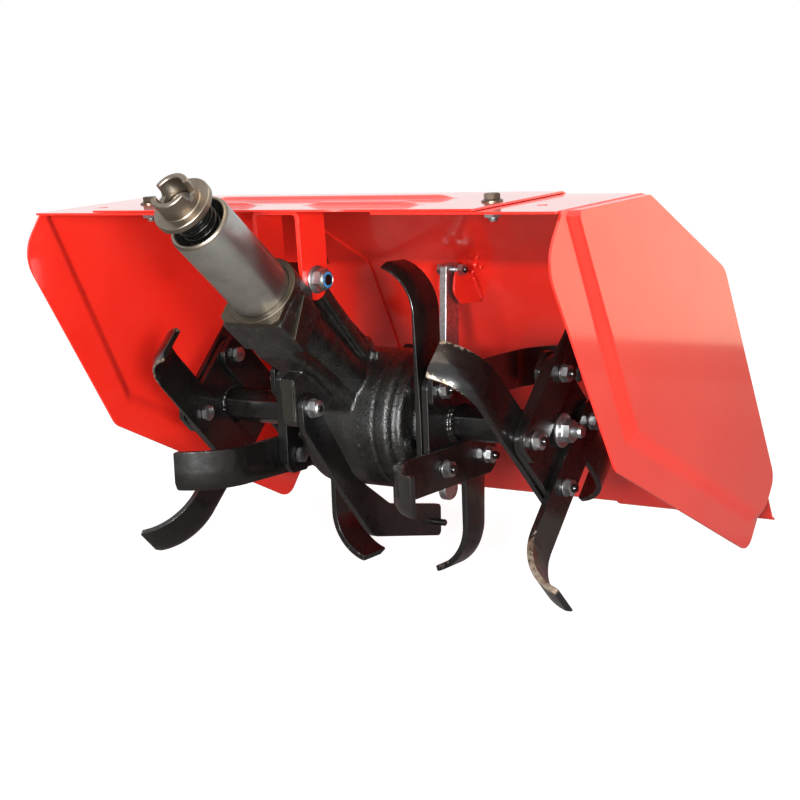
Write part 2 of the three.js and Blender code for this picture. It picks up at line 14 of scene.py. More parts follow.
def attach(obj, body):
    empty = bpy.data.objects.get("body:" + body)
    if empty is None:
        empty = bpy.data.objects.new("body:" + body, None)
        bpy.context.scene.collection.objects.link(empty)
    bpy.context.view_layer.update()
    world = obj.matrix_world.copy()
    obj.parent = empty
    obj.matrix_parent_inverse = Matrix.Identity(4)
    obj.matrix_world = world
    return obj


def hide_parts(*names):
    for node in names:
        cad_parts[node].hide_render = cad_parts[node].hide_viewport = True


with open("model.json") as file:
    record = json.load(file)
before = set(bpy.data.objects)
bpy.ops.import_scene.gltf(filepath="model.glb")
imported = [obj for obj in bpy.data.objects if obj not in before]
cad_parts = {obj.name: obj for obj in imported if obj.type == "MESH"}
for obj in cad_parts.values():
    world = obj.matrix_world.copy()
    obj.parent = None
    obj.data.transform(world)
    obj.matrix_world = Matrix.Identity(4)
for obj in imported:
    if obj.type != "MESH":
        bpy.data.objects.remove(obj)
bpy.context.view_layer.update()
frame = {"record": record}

# ---- sizes in millimetres ------------------------------------------------------------------------
SEAT = 0.3
HOOD_W = 700
SIDE = HOOD_W / 2
SHEET = 2.5
TOP_D = 180
SLOPE_Y, SLOPE_Z = 359, -98
WALL_Y, WALL_Z = 506, -424
TOP_BEND, REAR_BEND = 12, 34
CENTRE_W = 500
PANEL_IN = 131
RIM, STEP, JOG = 34, 13, 7
HOOD_BOLT = (229, 72)
SPARE_HOLE = (292, 61)
ROTOR_Y, ROTOR_Z = 183, -254
NECK_ANGLE = 137.7
NECK_X = -10
NECK_HALF = 25
SHOULDER = 258
SLEEVE_R, SLEEVE_WALL, SLEEVE_END = 33.5, 4.5, 379
CASE_R, CASE_HALF, COVER, HUB_END = 80, 60, 11, 84
SHAFT_R = 17
HANG_Y, HANG_Z, HANG_W, HANG_T = 47, -76, 44, 5
EAR_Y, EAR_Z, EAR_X0, EAR_X1, EAR_R = 36, -214, -14, 3.7, 19
LUG_Y, LUG_Z = 334, -121
AXLE_AF, TUBE_IN = 36, 90
AXLE_CORNER = AXLE_AF / sqrt(3)
BOLT_CIRCLE = 62.4
BOLT_PITCH = BOLT_CIRCLE * sqrt(2)
OUTER_X, INNER_X = 230, 105
OUTER_PHASE, INNER_PHASE = 87.6, 42.6
FLANGE_T, FLANGE_LIP = 8, 20
TINE_T, TINE_W, REACH, SWEEP = 7, 45, 140, 75
BEND_IN, BEND_OUT = 60, 74
PITCH = 1.8                                # degrees the machine noses down as it stands
M8, M10, M14 = (4, 13, 7), (5, 17, 10), (7, 22, 12)   # shank radius, across flats, nut height

# ---- places --------------------------------------------------------------------------------------
joints = {j["name"]: j for j in frame["record"]["behaviour"]["joints"]}
AXIS = Vector(joints["rotor_spin"]["pos_m"])
MACHINE = (Matrix.Translation(AXIS) @ Matrix.Rotation(radians(PITCH), 4, "X") @ Matrix.Scale(0.001, 4)
           @ Matrix.Translation((0, -ROTOR_Y, -ROTOR_Z)))
# the neck's frame: z out along the neck from the rotor axis, y up and to the rear from it
NECK = (MACHINE @ Matrix.Translation((NECK_X, ROTOR_Y, ROTOR_Z))
        @ Matrix.Rotation(radians(NECK_ANGLE - 90), 4, "X"))


# ---- node materials --------------------------------------------------------------------------------
def linear(code):
    """The linear colour of an sRGB hex code."""
    parts = [int(code[i:i + 2], 16) / 255 for i in (1, 3, 5)]
    return [c / 12.92 if c <= 0.04045 else ((c + 0.055) / 1.055) ** 2.4 for c in parts] + [1]


def node(mat, kind, links=None, **settings):
    """Adds a node; settings name its properties or its sockets, links its linked sockets."""
    n = mat.node_tree.nodes.new("ShaderNode" + kind)
    for key, value in settings.items():
        if hasattr(n, key):
            setattr(n, key, value)
        else:
            n.inputs[key.replace("_", " ")].default_value = value
    for key, source in (links or {}).items():
        mat.node_tree.links.new(source, n.inputs[key])
    return n


def surface(name, **settings):
    mat = bpy.data.materials.new(name)
    mat.use_nodes = True
    shader = mat.node_tree.nodes["Principled BSDF"]
    for key, value in settings.items():
        shader.inputs[key.replace("_", " ")].default_value = value
    return mat, shader


def link(mat, source, shader, socket):
    mat.node_tree.links.new(source, shader.inputs[socket])


def coords(mat, frame_matrix=None):
    """Object coordinates, turned into a piece's own frame where a grain follows it."""
    out = node(mat, "TexCoord").outputs["Object"]
    if frame_matrix is None:
        return out
    place, turn, _ = frame_matrix.inverted().decompose()
    mapped = node(mat, "Mapping", {"Vector": out})
    mapped.inputs["Rotation"].default_value = turn.to_euler()
    mapped.inputs["Location"].default_value = place * 0.001
    return mapped.outputs["Vector"]


def grain(mat, vector, size, detail=2.0, rough=0.5):
    """Noise whose blotches are about size millimetres across."""
    noise = node(mat, "TexNoise", {"Vector": vector}, Scale=1000 / size, Detail=detail, Roughness=rough)
    return noise.outputs["Fac"]


def ramp(mat, value, low, high, start=0.0, end=1.0):
    """Maps low..high to start..end and clamps it there."""
    n = node(mat, "MapRange", {"Value": value})
    for key, number in (("From Min", low), ("From Max", high), ("To Min", start), ("To Max", end)):
        n.inputs[key].default_value = number
    return n.outputs["Result"]


def blend(mat, factor, low, high):
    """Mixes two colours, each an output or a hex code."""
    n = node(mat, "Mix", data_type="RGBA")
    for source, socket in ((factor, n.inputs[0]), (low, n.inputs[6]), (high, n.inputs[7])):
        if isinstance(source, str):
            socket.default_value = linear(source)
        else:
            mat.node_tree.links.new(source, socket)
    return n.outputs[2]


def combine(mat, operation, a, b):
    n = node(mat, "Math", operation=operation)
    for source, socket in ((a, n.inputs[0]), (b, n.inputs[1])):
        if isinstance(source, (int, float)):
            socket.default_value = source
        else:
            mat.node_tree.links.new(source, socket)
    return n.outputs[0]


def bump(mat, shader, height, millimetres, strength=1.0, under=None):
    n = node(mat, "Bump", {"Height": height}, Strength=strength, Distance=millimetres * 0.001)
    if under:
        mat.node_tree.links.new(under, n.inputs["Normal"])
    mat.node_tree.links.new(n.outputs["Normal"], shader.inputs["Normal"])
    return n.outputs["Normal"]


def red_enamel():
    """Sprayed gloss enamel on pressed sheet: deep red, a clear skin of gloss, a slight orange peel."""
    mat, s = surface("red_enamel", Roughness=0.3, IOR=1.5, Coat_Weight=1.0, Coat_Roughness=0.08, Coat_IOR=1.5)
    at = coords(mat)
    tone = blend(mat, ramp(mat, grain(mat, at, 160, 3), 0.3, 0.7), "#DA2216", "#E22C1F")
    dust = ramp(mat, grain(mat, at, 1.5, 0), 0.78, 0.84)
    link(mat, blend(mat, dust, tone, "#EE4A3C"), s, "Base Color")
    link(mat, ramp(mat, grain(mat, at, 60, 4), 0.3, 0.7, 0.28, 0.36), s, "Roughness")
    skin = bump(mat, s, grain(mat, at, 5, 1), 0.006)
    wave = bump(mat, s, grain(mat, at, 260, 1), 0.5, under=skin)
    link(mat, skin, s, "Coat Normal")
    link(mat, wave, s, "Normal")
    return mat


def black_enamel(name, wear_and_sheen="#A89D8F", bare_and_sheen=False):
    """Dipped gloss black on forged spring steel: rubbed to bright and brown metal at edges and tips, and the
    same metal colour painted as a thin highlight along the edges.
    """
    mat, s = surface(name, IOR=1.5, Coat_Weight=0.45, Coat_Roughness=0.07, Specular_IOR_Level=0.35)
    at = coords(mat)
    tone = blend(mat, ramp(mat, grain(mat, at, 45, 4), 0.35, 0.7), "#070707", "#12100F")
    rough = ramp(mat, grain(mat, at, 14, 4), 0.3, 0.75, 0.24, 0.42)
    scale = grain(mat, at, 9, 4, 0.6)
    lumps = bump(mat, s, scale, 0.3, 0.7)
    link(mat, lumps, s, "Coat Normal")
    # pale metal where the paint has worn, and painted highlight along the edges and at one blade's tip
    if bare_and_sheen:
        rub_and_highlight = node(mat, "Attribute", attribute_name="wear_and_sheen").outputs["Fac"]
        scratch = grain(mat, at, 6, 6, 0.75)
        mask = ramp(mat, combine(mat, "ADD", rub_and_highlight, combine(mat, "MULTIPLY", scratch, 0.9)), 0.88, 0.98)
        metal = blend(mat, ramp(mat, grain(mat, at, 12, 5), 0.35, 0.6), "#6B5845", wear_and_sheen)
        tone = blend(mat, mask, tone, metal)
        link(mat, combine(mat, "MULTIPLY", mask, 0.85), s, "Metallic")
        rough = combine(mat, "ADD", rough, combine(mat, "MULTIPLY", mask, 0.12))
    link(mat, tone, s, "Base Color")
    link(mat, rough, s, "Roughness")
    return mat


def cast_black():
    """Sand-cast iron under thin black paint: coarse grain, dull in the hollows, pale specks that are partly
    grain and partly painted sparkle.
    """
    mat, s = surface("cast_black", IOR=1.5, Coat_Weight=0.3, Coat_Roughness=0.12)
    at = coords(mat)
    sand = grain(mat, at, 2.6, 3, 0.65)
    lumps = grain(mat, at, 16, 3)
    tone = blend(mat, ramp(mat, lumps, 0.35, 0.7), "#0A0A0A", "#171613")
    # pale specks: grain of the cast skin, and painted sparkle
    speck_and_sparkle = ramp(mat, grain(mat, at, 3.2, 2), 0.70, 0.76)
    link(mat, blend(mat, speck_and_sparkle, tone, "#5A5040"), s, "Base Color")
    link(mat, ramp(mat, sand, 0.3, 0.7, 0.22, 0.45), s, "Roughness")
    fine = bump(mat, s, sand, 1.0, 0.9)
    both = bump(mat, s, lumps, 1.2, 0.6, under=fine)
    link(mat, both, s, "Coat Normal")
    return mat


RING_PITCH = 0.0005                        # metres between the rings that a lathe tool leaves


def machined_steel(name, light, dark, roughness=0.34):
    """Turned steel, bare and lightly oiled: fine rings from the tool, brown stains, small nicks."""
    mat, s = surface(name, Metallic=1.0)
    at = coords(mat, NECK)
    stain = grain(mat, at, 26, 4, 0.6)
    nick = ramp(mat, grain(mat, at, 3.5, 1), 0.77, 0.8)
    tone = blend(mat, ramp(mat, stain, 0.35, 0.75), light, dark)
    link(mat, blend(mat, nick, tone, "#2A2622"), s, "Base Color")
    # tool rings half a millimetre apart, the finest that a close view still draws
    ring = node(mat, "TexWave", {"Vector": at}, wave_type="BANDS", bands_direction="Z",
                Scale=2 * pi / (20 * RING_PITCH),
                Distortion=0.4, Detail=2.0)
    rings = ring.outputs["Fac"]
    link(mat, ramp(mat, stain, 0.3, 0.8, roughness - 0.07, roughness + 0.12), s, "Roughness")
    fine = bump(mat, s, rings, 0.01, 0.5)
    bump(mat, s, grain(mat, at, 40, 2), 0.08, 0.5, under=fine)
    return mat


def zinc_plate():
    """Bright zinc on cold-headed steel: pale, slightly cloudy, soft highlights."""
    mat, s = surface("zinc_plate", Metallic=1.0)
    at = coords(mat)
    cloud = grain(mat, at, 5, 4, 0.6)
    link(mat, blend(mat, ramp(mat, cloud, 0.3, 0.75), "#C6C8CB", "#8F8E8A"), s, "Base Color")
    link(mat, ramp(mat, cloud, 0.3, 0.8, 0.3, 0.5), s, "Roughness")
    bump(mat, s, grain(mat, at, 1.6, 2), 0.05, 0.5)
    return mat


def yellowed_zinc():
    """Zinc plate turned bronze by its chromate bath and by weather."""
    mat, s = surface("yellowed_zinc", Metallic=0.9)
    at = coords(mat)
    cloud = grain(mat, at, 6, 3)
    link(mat, blend(mat, ramp(mat, cloud, 0.3, 0.7), "#6F6455", "#4A433A"), s, "Base Color")
    link(mat, ramp(mat, cloud, 0.3, 0.8, 0.28, 0.5), s, "Roughness")
    return mat


def oiled_spring():
    """Hard-drawn spring wire, blued and oiled: near black with long bright highlights."""
    mat, s = surface("oiled_spring", Metallic=0.85, Roughness=0.24)
    at = coords(mat)
    link(mat, blend(mat, grain(mat, at, 8, 3), "#151515", "#2C2A28"), s, "Base Color")
    return mat


def nylon_blue():
    """Injection-moulded nylon of a lock nut's ring: satin, a little translucent to the eye."""
    mat, s = surface("nylon_blue", Roughness=0.38, IOR=1.53)
    at = coords(mat)
    link(mat, blend(mat, grain(mat, at, 4, 2), "#24689E", "#3A82B8"), s, "Base Color")
    return mat


RED = red_enamel()
BLACK = black_enamel("black_enamel")
BLADE = black_enamel("blade_enamel", bare_and_sheen=True)
CAST = cast_black()
STEEL = machined_steel("machined_steel", "#AEAEAB", "#8E8E8A")
RING = machined_steel("machined_iron", "#5E574D", "#4A4339", 0.42)
MOUTH = machined_steel("faced_steel", "#8A8074", "#6E665B", 0.38)
RUBBED = machined_steel("rubbed_casting", "#4A4641", "#2C2926", 0.5)
ZINC = zinc_plate()
YELLOWED = yellowed_zinc()
SPRING = oiled_spring()
NYLON = nylon_blue()


# ---- outlines --------------------------------------------------------------------------------------
def arc_at(before, corner, after, radius, steps):
    """The arc that rounds a corner between its two neighbours."""
    point = Vector(corner[:2])
    u = Vector(before[:2]) - point
    v = Vector(after[:2]) - point
    room = 0.49 * min(u.length, v.length)
    u.normalize()
    v.normalize()
    half = acos(max(-1, min(1, u.dot(v)))) / 2
    back = min(radius / tan(half), room)
    r = back * tan(half)
    centre = point + (u + v).normalized() * r / sin(half)
    first = point + u * back - centre
    last = point + v * back - centre
    start = atan2(first.y, first.x)
    turn = (atan2(last.y, last.x) - start + pi) % (2 * pi) - pi
    return [(centre.x + r * cos(start + turn * k / steps), centre.y + r * sin(start + turn * k / steps))
            for k in range(steps + 1)]


def rounded(corners, steps=8):
    """Rounds the corners of an outline of (a, b, radius); a corner with no radius stays sharp."""
    n = len(corners)
    out = []
    for i, c in enumerate(corners):
        out += arc_at(corners[i - 1], c, corners[(i + 1) % n], c[2], steps) if len(c) > 2 else [c[:2]]
    return out


def shifted(line, off):
    """The same line, moved off to its left."""
    out = []
    for i, p in enumerate(line):
        before = (Vector(line[max(i, 1)]) - Vector(line[max(i, 1) - 1])).normalized()
        j = min(i, len(line) - 2)
        after = (Vector(line[j + 1]) - Vector(line[j])).normalized()
        d = (before + after).normalized()
        k = off / d.dot(before)
        out.append((p[0] - d.y * k, p[1] + d.x * k))
    return out


def inset(points, edges):
    """Moves each edge of an outline inwards by its own distance, with radii kept."""
    lines = []
    for i, p in enumerate(points):
        q = points[(i + 1) % len(points)]
        d = Vector((q[0] - p[0], q[1] - p[1])).normalized()
        lines.append((p[0] + d.y * edges[i], p[1] - d.x * edges[i], d))
    out = []
    for i, p in enumerate(points):
        (ax, ay, a), (bx, by, b) = lines[i - 1], lines[i]
        k = ((bx - ax) * b.y - (by - ay) * b.x) / (a.x * b.y - a.y * b.x)
        out.append((ax + a.x * k, ay + a.y * k, p[2]))
    return out


# ---- shapes ----------------------------------------------------------------------------------------
def only(geom, kind):
    return [g for g in geom if isinstance(g, kind)]


def closed(bm):
    """Merges a shell's doubles and turns its faces outwards."""
    bmesh.ops.remove_doubles(bm, verts=bm.verts, dist=0.002)
    bmesh.ops.recalc_face_normals(bm, faces=bm.faces)
    if bm.calc_volume(signed=True) < 0:
        bmesh.ops.reverse_faces(bm, faces=bm.faces)
    return bm


def facing(side, x=0, y=ROTOR_Y, z=ROTOR_Z):
    """A frame at x, y, z: its z points to the machine's right (1) or left (-1), its x to the rear."""
    turn = Matrix(((0, 0, side, 0), (1, 0, 0, 0), (0, side, 0, 0), (0, 0, 0, 1)))
    return Matrix.Translation((x, y, z)) @ turn


def add(bm, part, place=None, material=0):
    """Moves a part into a piece's mesh."""
    closed(part)
    if place:
        part.transform(place)
    for f in part.faces:
        f.material_index = material
    mesh = bpy.data.meshes.new("part")
    part.to_mesh(mesh)
    part.free()
    bm.from_mesh(mesh)
    bpy.data.meshes.remove(mesh)


def lathe(profile, steps=48):
    """Turns a run of (radius, z) once round z; it starts and ends on the axis or closes on itself."""
    bm = bmesh.new()
    verts = [bm.verts.new((r, 0, z)) for r, z in profile]
    edges = [bm.edges.new(pair) for pair in zip(verts, verts[1:])]
    bmesh.ops.spin(bm, geom=verts + edges, cent=(0, 0, 0), axis=(0, 0, 1), angle=2 * pi, steps=steps,
                   use_merge=True)
    return bm


def rod(radius, z0, z1, chamfer=0.8, steps=48):
    return lathe([(0, z0), (radius - chamfer, z0), (radius, z0 + chamfer), (radius, z1 - chamfer),
                  (radius - chamfer, z1), (0, z1)], steps)


def ring(inner, outer, z0, z1, chamfer=0.4, steps=48):
    return lathe([(inner, z0), (outer - chamfer, z0), (outer, z0 + chamfer), (outer, z1 - chamfer),
                  (outer - chamfer, z1), (inner, z1), (inner, z0)], steps)


def prism(outline, z0, z1):
    bm = bmesh.new()
    face = bm.faces.new([bm.verts.new((x, y, z0)) for x, y in outline])
    top = bmesh.ops.extrude_face_region(bm, geom=[face])["geom"]
    bmesh.ops.translate(bm, verts=only(top, bmesh.types.BMVert), vec=(0, 0, z1 - z0))
    return closed(bm)


def nut(across, height, bore=0.0):
    """A hexagon standing on z = 0, its corners cut by a 30 degree cone at both ends."""
    corner = across / sqrt(3)
    land = 0.475 * across
    bm = lathe([(bore, 0), (land, 0), (corner, 0.1), (corner, height - 0.1), (land, height), (bore, height)]
               + ([(bore, 0)] if bore else []), 60)
    for v in bm.verts:
        r = hypot(v.co.x, v.co.y)
        if r > land + 0.01:
            flat = across / 2 / cos(atan2(v.co.y, v.co.x) % (pi / 3) - pi / 6)
            drop = (flat - land) * tan(radians(30))
            v.co.xy *= flat / r
            v.co.z = drop if v.co.z < height / 2 else height - drop
    return bm


def thread(radius, z0, z1, pitch=1.5):
    """A threaded end, chamfered at its tip z1."""
    depth = 0.6 * pitch
    turns = int(abs(z1 - z0) / pitch) - 1
    step = pitch if z1 > z0 else -pitch
    run = [(0, z0), (radius, z0)]
    for k in range(turns):
        run += [(radius, z0 + (k + 0.15) * step), (radius - depth, z0 + (k + 0.5) * step),
                (radius, z0 + (k + 0.85) * step)]
    return lathe(run + [(radius - depth, z1), (0, z1)], 32)


def box(x0, x1, y0, y1, z0, z1):
    bm = bmesh.new()
    bmesh.ops.create_cube(bm, size=1)
    bmesh.ops.scale(bm, verts=bm.verts, vec=(x1 - x0, y1 - y0, z1 - z0))
    bmesh.ops.translate(bm, verts=bm.verts, vec=((x0 + x1) / 2, (y0 + y1) / 2, (z0 + z1) / 2))
    return bm


def bead(path, radius, wave=0.16):
    """A weld bead along a path, its ripples as long as it is thick."""
    bm = bmesh.new()
    loops = []
    for i, point in enumerate(path):
        ahead = Vector(path[min(i + 1, len(path) - 1)]) - Vector(path[max(i - 1, 0)])
        r = radius * (1 - wave * abs(sin(i * pi / 3))) * (0.55 if i in (0, len(path) - 1) else 1)
        turn = ahead.to_track_quat("Z", "Y").to_matrix().to_4x4()
        made = bmesh.ops.create_circle(bm, segments=10, radius=r, matrix=Matrix.Translation(point) @ turn)
        loops.append(list({e for v in made["verts"] for e in v.link_edges}))
    for a, b in zip(loops, loops[1:]):
        bmesh.ops.bridge_loops(bm, edges=a + b)
    bmesh.ops.holes_fill(bm, edges=bm.edges, sides=12)
    return bm


def seam(a, b, radius):
    """A straight weld from a to b."""
    a, b = Vector(a), Vector(b)
    count = max(3, int((b - a).length / (0.55 * radius)))
    return bead([a.lerp(b, k / count) for k in range(count + 1)], radius)


def weld_ring(distance, radius, z=0.0, ripples=26):
    """A weld right round a tube."""
    bm = bmesh.new()
    section = Matrix.Translation((distance, 0, z)) @ Matrix.Rotation(pi / 2, 4, "X")
    circle = bmesh.ops.create_circle(bm, segments=12, radius=radius, matrix=section)
    edges = list({e for v in circle["verts"] for e in v.link_edges})
    bmesh.ops.spin(bm, geom=circle["verts"] + edges, cent=(0, 0, 0), axis=(0, 0, 1), angle=2 * pi,
                   steps=ripples * 6, use_merge=True)
    for v in bm.verts:
        turn = atan2(v.co.y, v.co.x)
        middle = Vector((distance * cos(turn), distance * sin(turn), z))
        v.co = middle + (v.co - middle) * (1 - 0.2 * abs(cos(turn * ripples / 2)))
    return bm


def folded(line, x0, x1, columns=1):
    """A sheet one face thick, folded along a line of (y, z)."""
    bm = bmesh.new()
    row = [bm.verts.new((x0 + (x1 - x0) * k / columns, *line[0])) for k in range(columns + 1)]
    edges = [bm.edges.new(pair) for pair in zip(row, row[1:])]
    for a, b in zip(line, line[1:]):
        verts = only(bmesh.ops.extrude_edge_only(bm, edges=edges)["geom"], bmesh.types.BMVert)
        bmesh.ops.translate(bm, verts=verts, vec=(0, b[0] - a[0], b[1] - a[1]))
        new = set(verts)
        edges = list({e for v in verts for e in v.link_edges if e.verts[0] in new and e.verts[1] in new})
    return bm


def outwards(bm, direction):
    """Turns an open sheet so that its faces look along a direction."""
    toward = Vector(direction)
    bm.normal_update()
    if sum(f.normal.dot(toward) * f.calc_area() for f in bm.faces) < 0:
        bmesh.ops.reverse_faces(bm, faces=bm.faces)


def punch(bm, x, y, radius):
    """A round hole through the flat of a sheet at z = 0."""
    half = 1.7 * radius
    for at, normal in (((x - half, 0, 0), (1, 0, 0)), ((x + half, 0, 0), (1, 0, 0)),
                       ((0, y - half, 0), (0, 1, 0)), ((0, y + half, 0), (0, 1, 0))):
        bmesh.ops.bisect_plane(bm, geom=bm.verts[:] + bm.edges[:] + bm.faces[:], plane_co=at, plane_no=normal)
    inside = [f for f in bm.faces if all(abs(v.co.x - x) < half + 0.1 and abs(v.co.y - y) < half + 0.1
                                         and abs(v.co.z) < 6 for v in f.verts)]
    face = bmesh.utils.face_join(inside) if len(inside) > 1 else inside[0]
    bmesh.ops.subdivide_edges(bm, edges=face.edges[:], cuts=7)
    bmesh.ops.inset_individual(bm, faces=[face], thickness=0.3 * radius)
    for v in face.verts:
        d = Vector((v.co.x - x, v.co.y - y)).normalized() * radius
        v.co.x, v.co.y = x + d.x, y + d.y
    bmesh.ops.delete(bm, geom=[face], context="FACES_ONLY")


def piece(name, bm, body, slot, *materials, place=MACHINE, replaces=(), wall=0.0, even=True,
          edge=0.0, crease=35):
    """Puts a mesh drawn in millimetres in its place, with its body and the node it stands for. The slot
    argument is not used.
    """
    bm.transform(place)
    mesh = bpy.data.meshes.new(name)
    bm.to_mesh(mesh)
    bm.free()
    mesh.shade_smooth()
    mesh.set_sharp_from_angle(angle=radians(crease))
    for mat in materials:
        mesh.materials.append(mat)
    obj = bpy.data.objects.new(name, mesh)
    bpy.context.scene.collection.objects.link(obj)
    if wall:
        solid = obj.modifiers.new("wall", "SOLIDIFY")
        solid.thickness = wall * 0.001
        solid.offset = -1
        solid.use_even_offset = even
    if edge:
        round_off = obj.modifiers.new("edge", "BEVEL")
        round_off.width = edge * 0.001
        round_off.segments = 2
        round_off.limit_method = "ANGLE"
        round_off.angle_limit = radians(crease)
        round_off.harden_normals = True
    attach(obj, body)
    if replaces:
        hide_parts(*replaces)
    return obj


# ---- hood ------------------------------------------------------------------------------------------
LIP = 7
FOLD = rounded([(0, 0), (TOP_D, 0, TOP_BEND), (SLOPE_Y, SLOPE_Z, REAR_BEND), (WALL_Y, WALL_Z),
                (WALL_Y + LIP, WALL_Z - LIP / 2)], 10)
TOP = SEAT + SHEET                          # top face of the middle sheet
UNDER = -SHEET - SEAT                       # under side of the side panels


def smooth_step(value, low, high):
    t = max(0, min(1, (value - low) / (high - low)))
    return t * t * (3 - 2 * t)


def centre_sheet():
    """The middle sheet, stiffened by pressed ribs whose ends run out to points."""
    rise, half_width, taper = 4.2, 8, 26
    long = CENTRE_W / 2 - 82
    ribs = ((-long, long, 108), (NECK_X + 24, long, 42), (-long, NECK_X - 30, 42))
    flat_end = 128
    rows = 64
    line = shifted(FOLD, TOP)
    front = [(flat_end * k / rows, TOP) for k in range(rows + 1)]
    bm = folded(front + [p for p in line if p[0] > flat_end + 4], -CENTRE_W / 2, CENTRE_W / 2, 125)
    for v in bm.verts:
        if v.co.y > flat_end:
            continue
        for x0, x1, y in ribs:
            run = min(smooth_step(v.co.x, x0, x0 + taper), 1 - smooth_step(v.co.x, x1 - taper, x1))
            across = abs(v.co.y - y) / (half_width * (0.35 + 0.65 * run))
            v.co.z += rise * run * (1 - smooth_step(across, 0.3, 1))
    outwards(bm, (0, 0, 1))
    piece("hood_centre_sheet_painted", bm, "frame", "red_enamel", RED, replaces=["hood_centre_sheet"],
          wall=SHEET, edge=0.5, crease=50)


def side_panel(name, side):
    bm = folded(FOLD, side * PANEL_IN, side * (SIDE - JOG - SHEET - SEAT), 3)
    for x, y in (HOOD_BOLT, SPARE_HOLE):
        punch(bm, side * x, y, 5.6)
    outwards(bm, (0, 0, 1))
    piece(f"hood_side_{name}_painted", bm, "frame", "red_enamel", RED, replaces=[f"hood_side_{name}"],
          wall=SHEET, edge=0.5, crease=50)


EDGE = 0.6
END = inset([(9, 0, 6), (TOP_D, 0, TOP_BEND), (SLOPE_Y, SLOPE_Z, REAR_BEND),
             (WALL_Y - 15, WALL_Z + 54, 22), (WALL_Y - 84, WALL_Z - 20, 24),
             (96, ROTOR_Z - 16, 26), (-26, -45, 60)], [EDGE, EDGE, 0, 0, 0, 0, 0])


def end_plate(name, side):
    """A plate whose panel is pressed outwards, with a soft bend at the band's foot and one at its crest."""
    foot = inset(END, [EDGE, EDGE, EDGE, EDGE, RIM, RIM, EDGE])[:6]
    crest = inset(END, [2 * EDGE] * 4 + [RIM + STEP, RIM + STEP, 2 * EDGE])[:6]
    foot[0] = (foot[0][0] + 5, *foot[0][1:])
    crest[0] = (crest[0][0] + 2 + STEP, *crest[0][1:])
    front_bend = 12
    foot[5], crest[5] = (*foot[5][:2], front_bend), (*crest[5][:2], front_bend)
    soft, loops = 0.3, 14
    area = lambda t: 0 if t < 0 else t * t / 2 if t < 1 else t - 0.5     # under a clamped ramp

    def outline(share):
        turn = max(0, share)
        line = rounded([(p[0] + (q[0] - p[0]) * share, p[1] + (q[1] - p[1]) * share,
                         p[2] + (q[2] - p[2]) * turn) for p, q in zip(foot, crest)], 10)
        # both bends run straight down from the top front corner, inside the rim's bulge
        low, top = Vector(line[-1]), Vector(line[0])
        return line + [tuple(low.lerp(top, (k + 1) / 12)) for k in range(11)]

    # a guard loop on either side of the bends keeps the flats flat
    levels = [(SIDE - JOG, rounded(END, 10)), (SIDE - JOG, outline(-soft - 0.06))]
    for k in range(loops + 1):
        t = -soft + (1 + 2 * soft) * k / loops
        lift = (area(t + soft) - area(t - soft)) / (2 * soft)
        levels.append((SIDE - JOG + JOG * lift, outline(t)))
    levels += [(SIDE, outline(1 + soft + 0.06)), (SIDE, outline(1 + soft + 0.3))]
    bm = bmesh.new()
    previous = None
    for x, points in levels:
        verts = [bm.verts.new((side * x, y, z)) for y, z in points]
        edges = [bm.edges.new(pair) for pair in zip(verts, verts[1:] + verts[:1])]
        if previous:
            bmesh.ops.bridge_loops(bm, edges=previous + edges)
        previous = edges
    bmesh.ops.contextual_create(bm, geom=previous)
    outwards(bm, (side, 0, 0))
    piece(f"end_plate_{name}_painted", bm, "frame", "red_enamel", RED, replaces=[f"end_plate_{name}"],
          wall=SHEET, even=False, edge=0.5, crease=50)


def hood_fixings(side):
    """Flange bolt through both sheets, its nut and thread below; tack welds where plate and sheet meet."""
    x, y = side * HOOD_BOLT[0], HOOD_BOLT[1]
    bm = bmesh.new()
    head = Matrix.Translation((x, y, TOP))
    add(bm, lathe([(0, 0), (11, 0), (11, 1.2), (8.6, 2.6), (0, 2.6)]), head, 0)
    add(bm, nut(15, 6.2), head @ Matrix.Translation((0, 0, 2.2)) @ Matrix.Rotation(radians(12), 4, "Z"), 0)
    below = Matrix.Translation((x, y, UNDER)) @ Matrix.Rotation(pi, 4, "X")
    add(bm, lathe([(0, 0), (10.5, 0), (10.5, 2), (0, 2)]), below, 1)
    add(bm, nut(M10[1], M10[2] - 1.8), below @ Matrix.Translation((0, 0, 1.8)), 1)
    add(bm, thread(M10[0], M10[2] - 1, M10[2] + 4), below, 1)
    piece(f"hood_bolt_{'right' if side > 0 else 'left'}", bm, "frame", "zinc_steel", YELLOWED, ZINC)
    welds = bmesh.new()
    at = side * (SIDE - JOG - SHEET - 2.2)
    for y0, y1 in ((20, 44), (110, 134)):
        add(welds, seam((at, y0, -SHEET - 1.2), (at, y1, -SHEET - 1.2), 2.4))
    for share in (0.2, 0.7):
        a = Vector((at, TOP_D + 22, -16)).lerp(Vector((at, SLOPE_Y - 22, SLOPE_Z + 8)), share)
        add(welds, seam(a, a + Vector((0, 21, -11.5)), 2.4))
    for share in (0.15, 0.5, 0.85):
        a = Vector((at, SLOPE_Y + 9, SLOPE_Z - 32)).lerp(Vector((at, WALL_Y - 46, WALL_Z + 90)), share)
        add(welds, seam(a, a + Vector((0, 9, -20)), 2.4))
    piece(f"hood_welds_{'right' if side > 0 else 'left'}", welds, "frame", "red_enamel", RED)


def ribbon(rows):
    """A strip one face thick: each row gives x, z and the two ends along y."""
    bm = bmesh.new()
    x, z, y0, y1 = rows[0]
    edge = bm.edges.new((bm.verts.new((x, y0, z)), bm.verts.new((x, y1, z))))
    for x, z, y0, y1 in rows[1:]:
        verts = only(bmesh.ops.extrude_edge_only(bm, edges=[edge])["geom"], bmesh.types.BMVert)
        verts.sort(key=lambda v: v.co.y)
        for v, y in zip(verts, (y0, y1)):
            v.co = (x, y, z)
        edge = bm.edges.get(verts)
    return bm


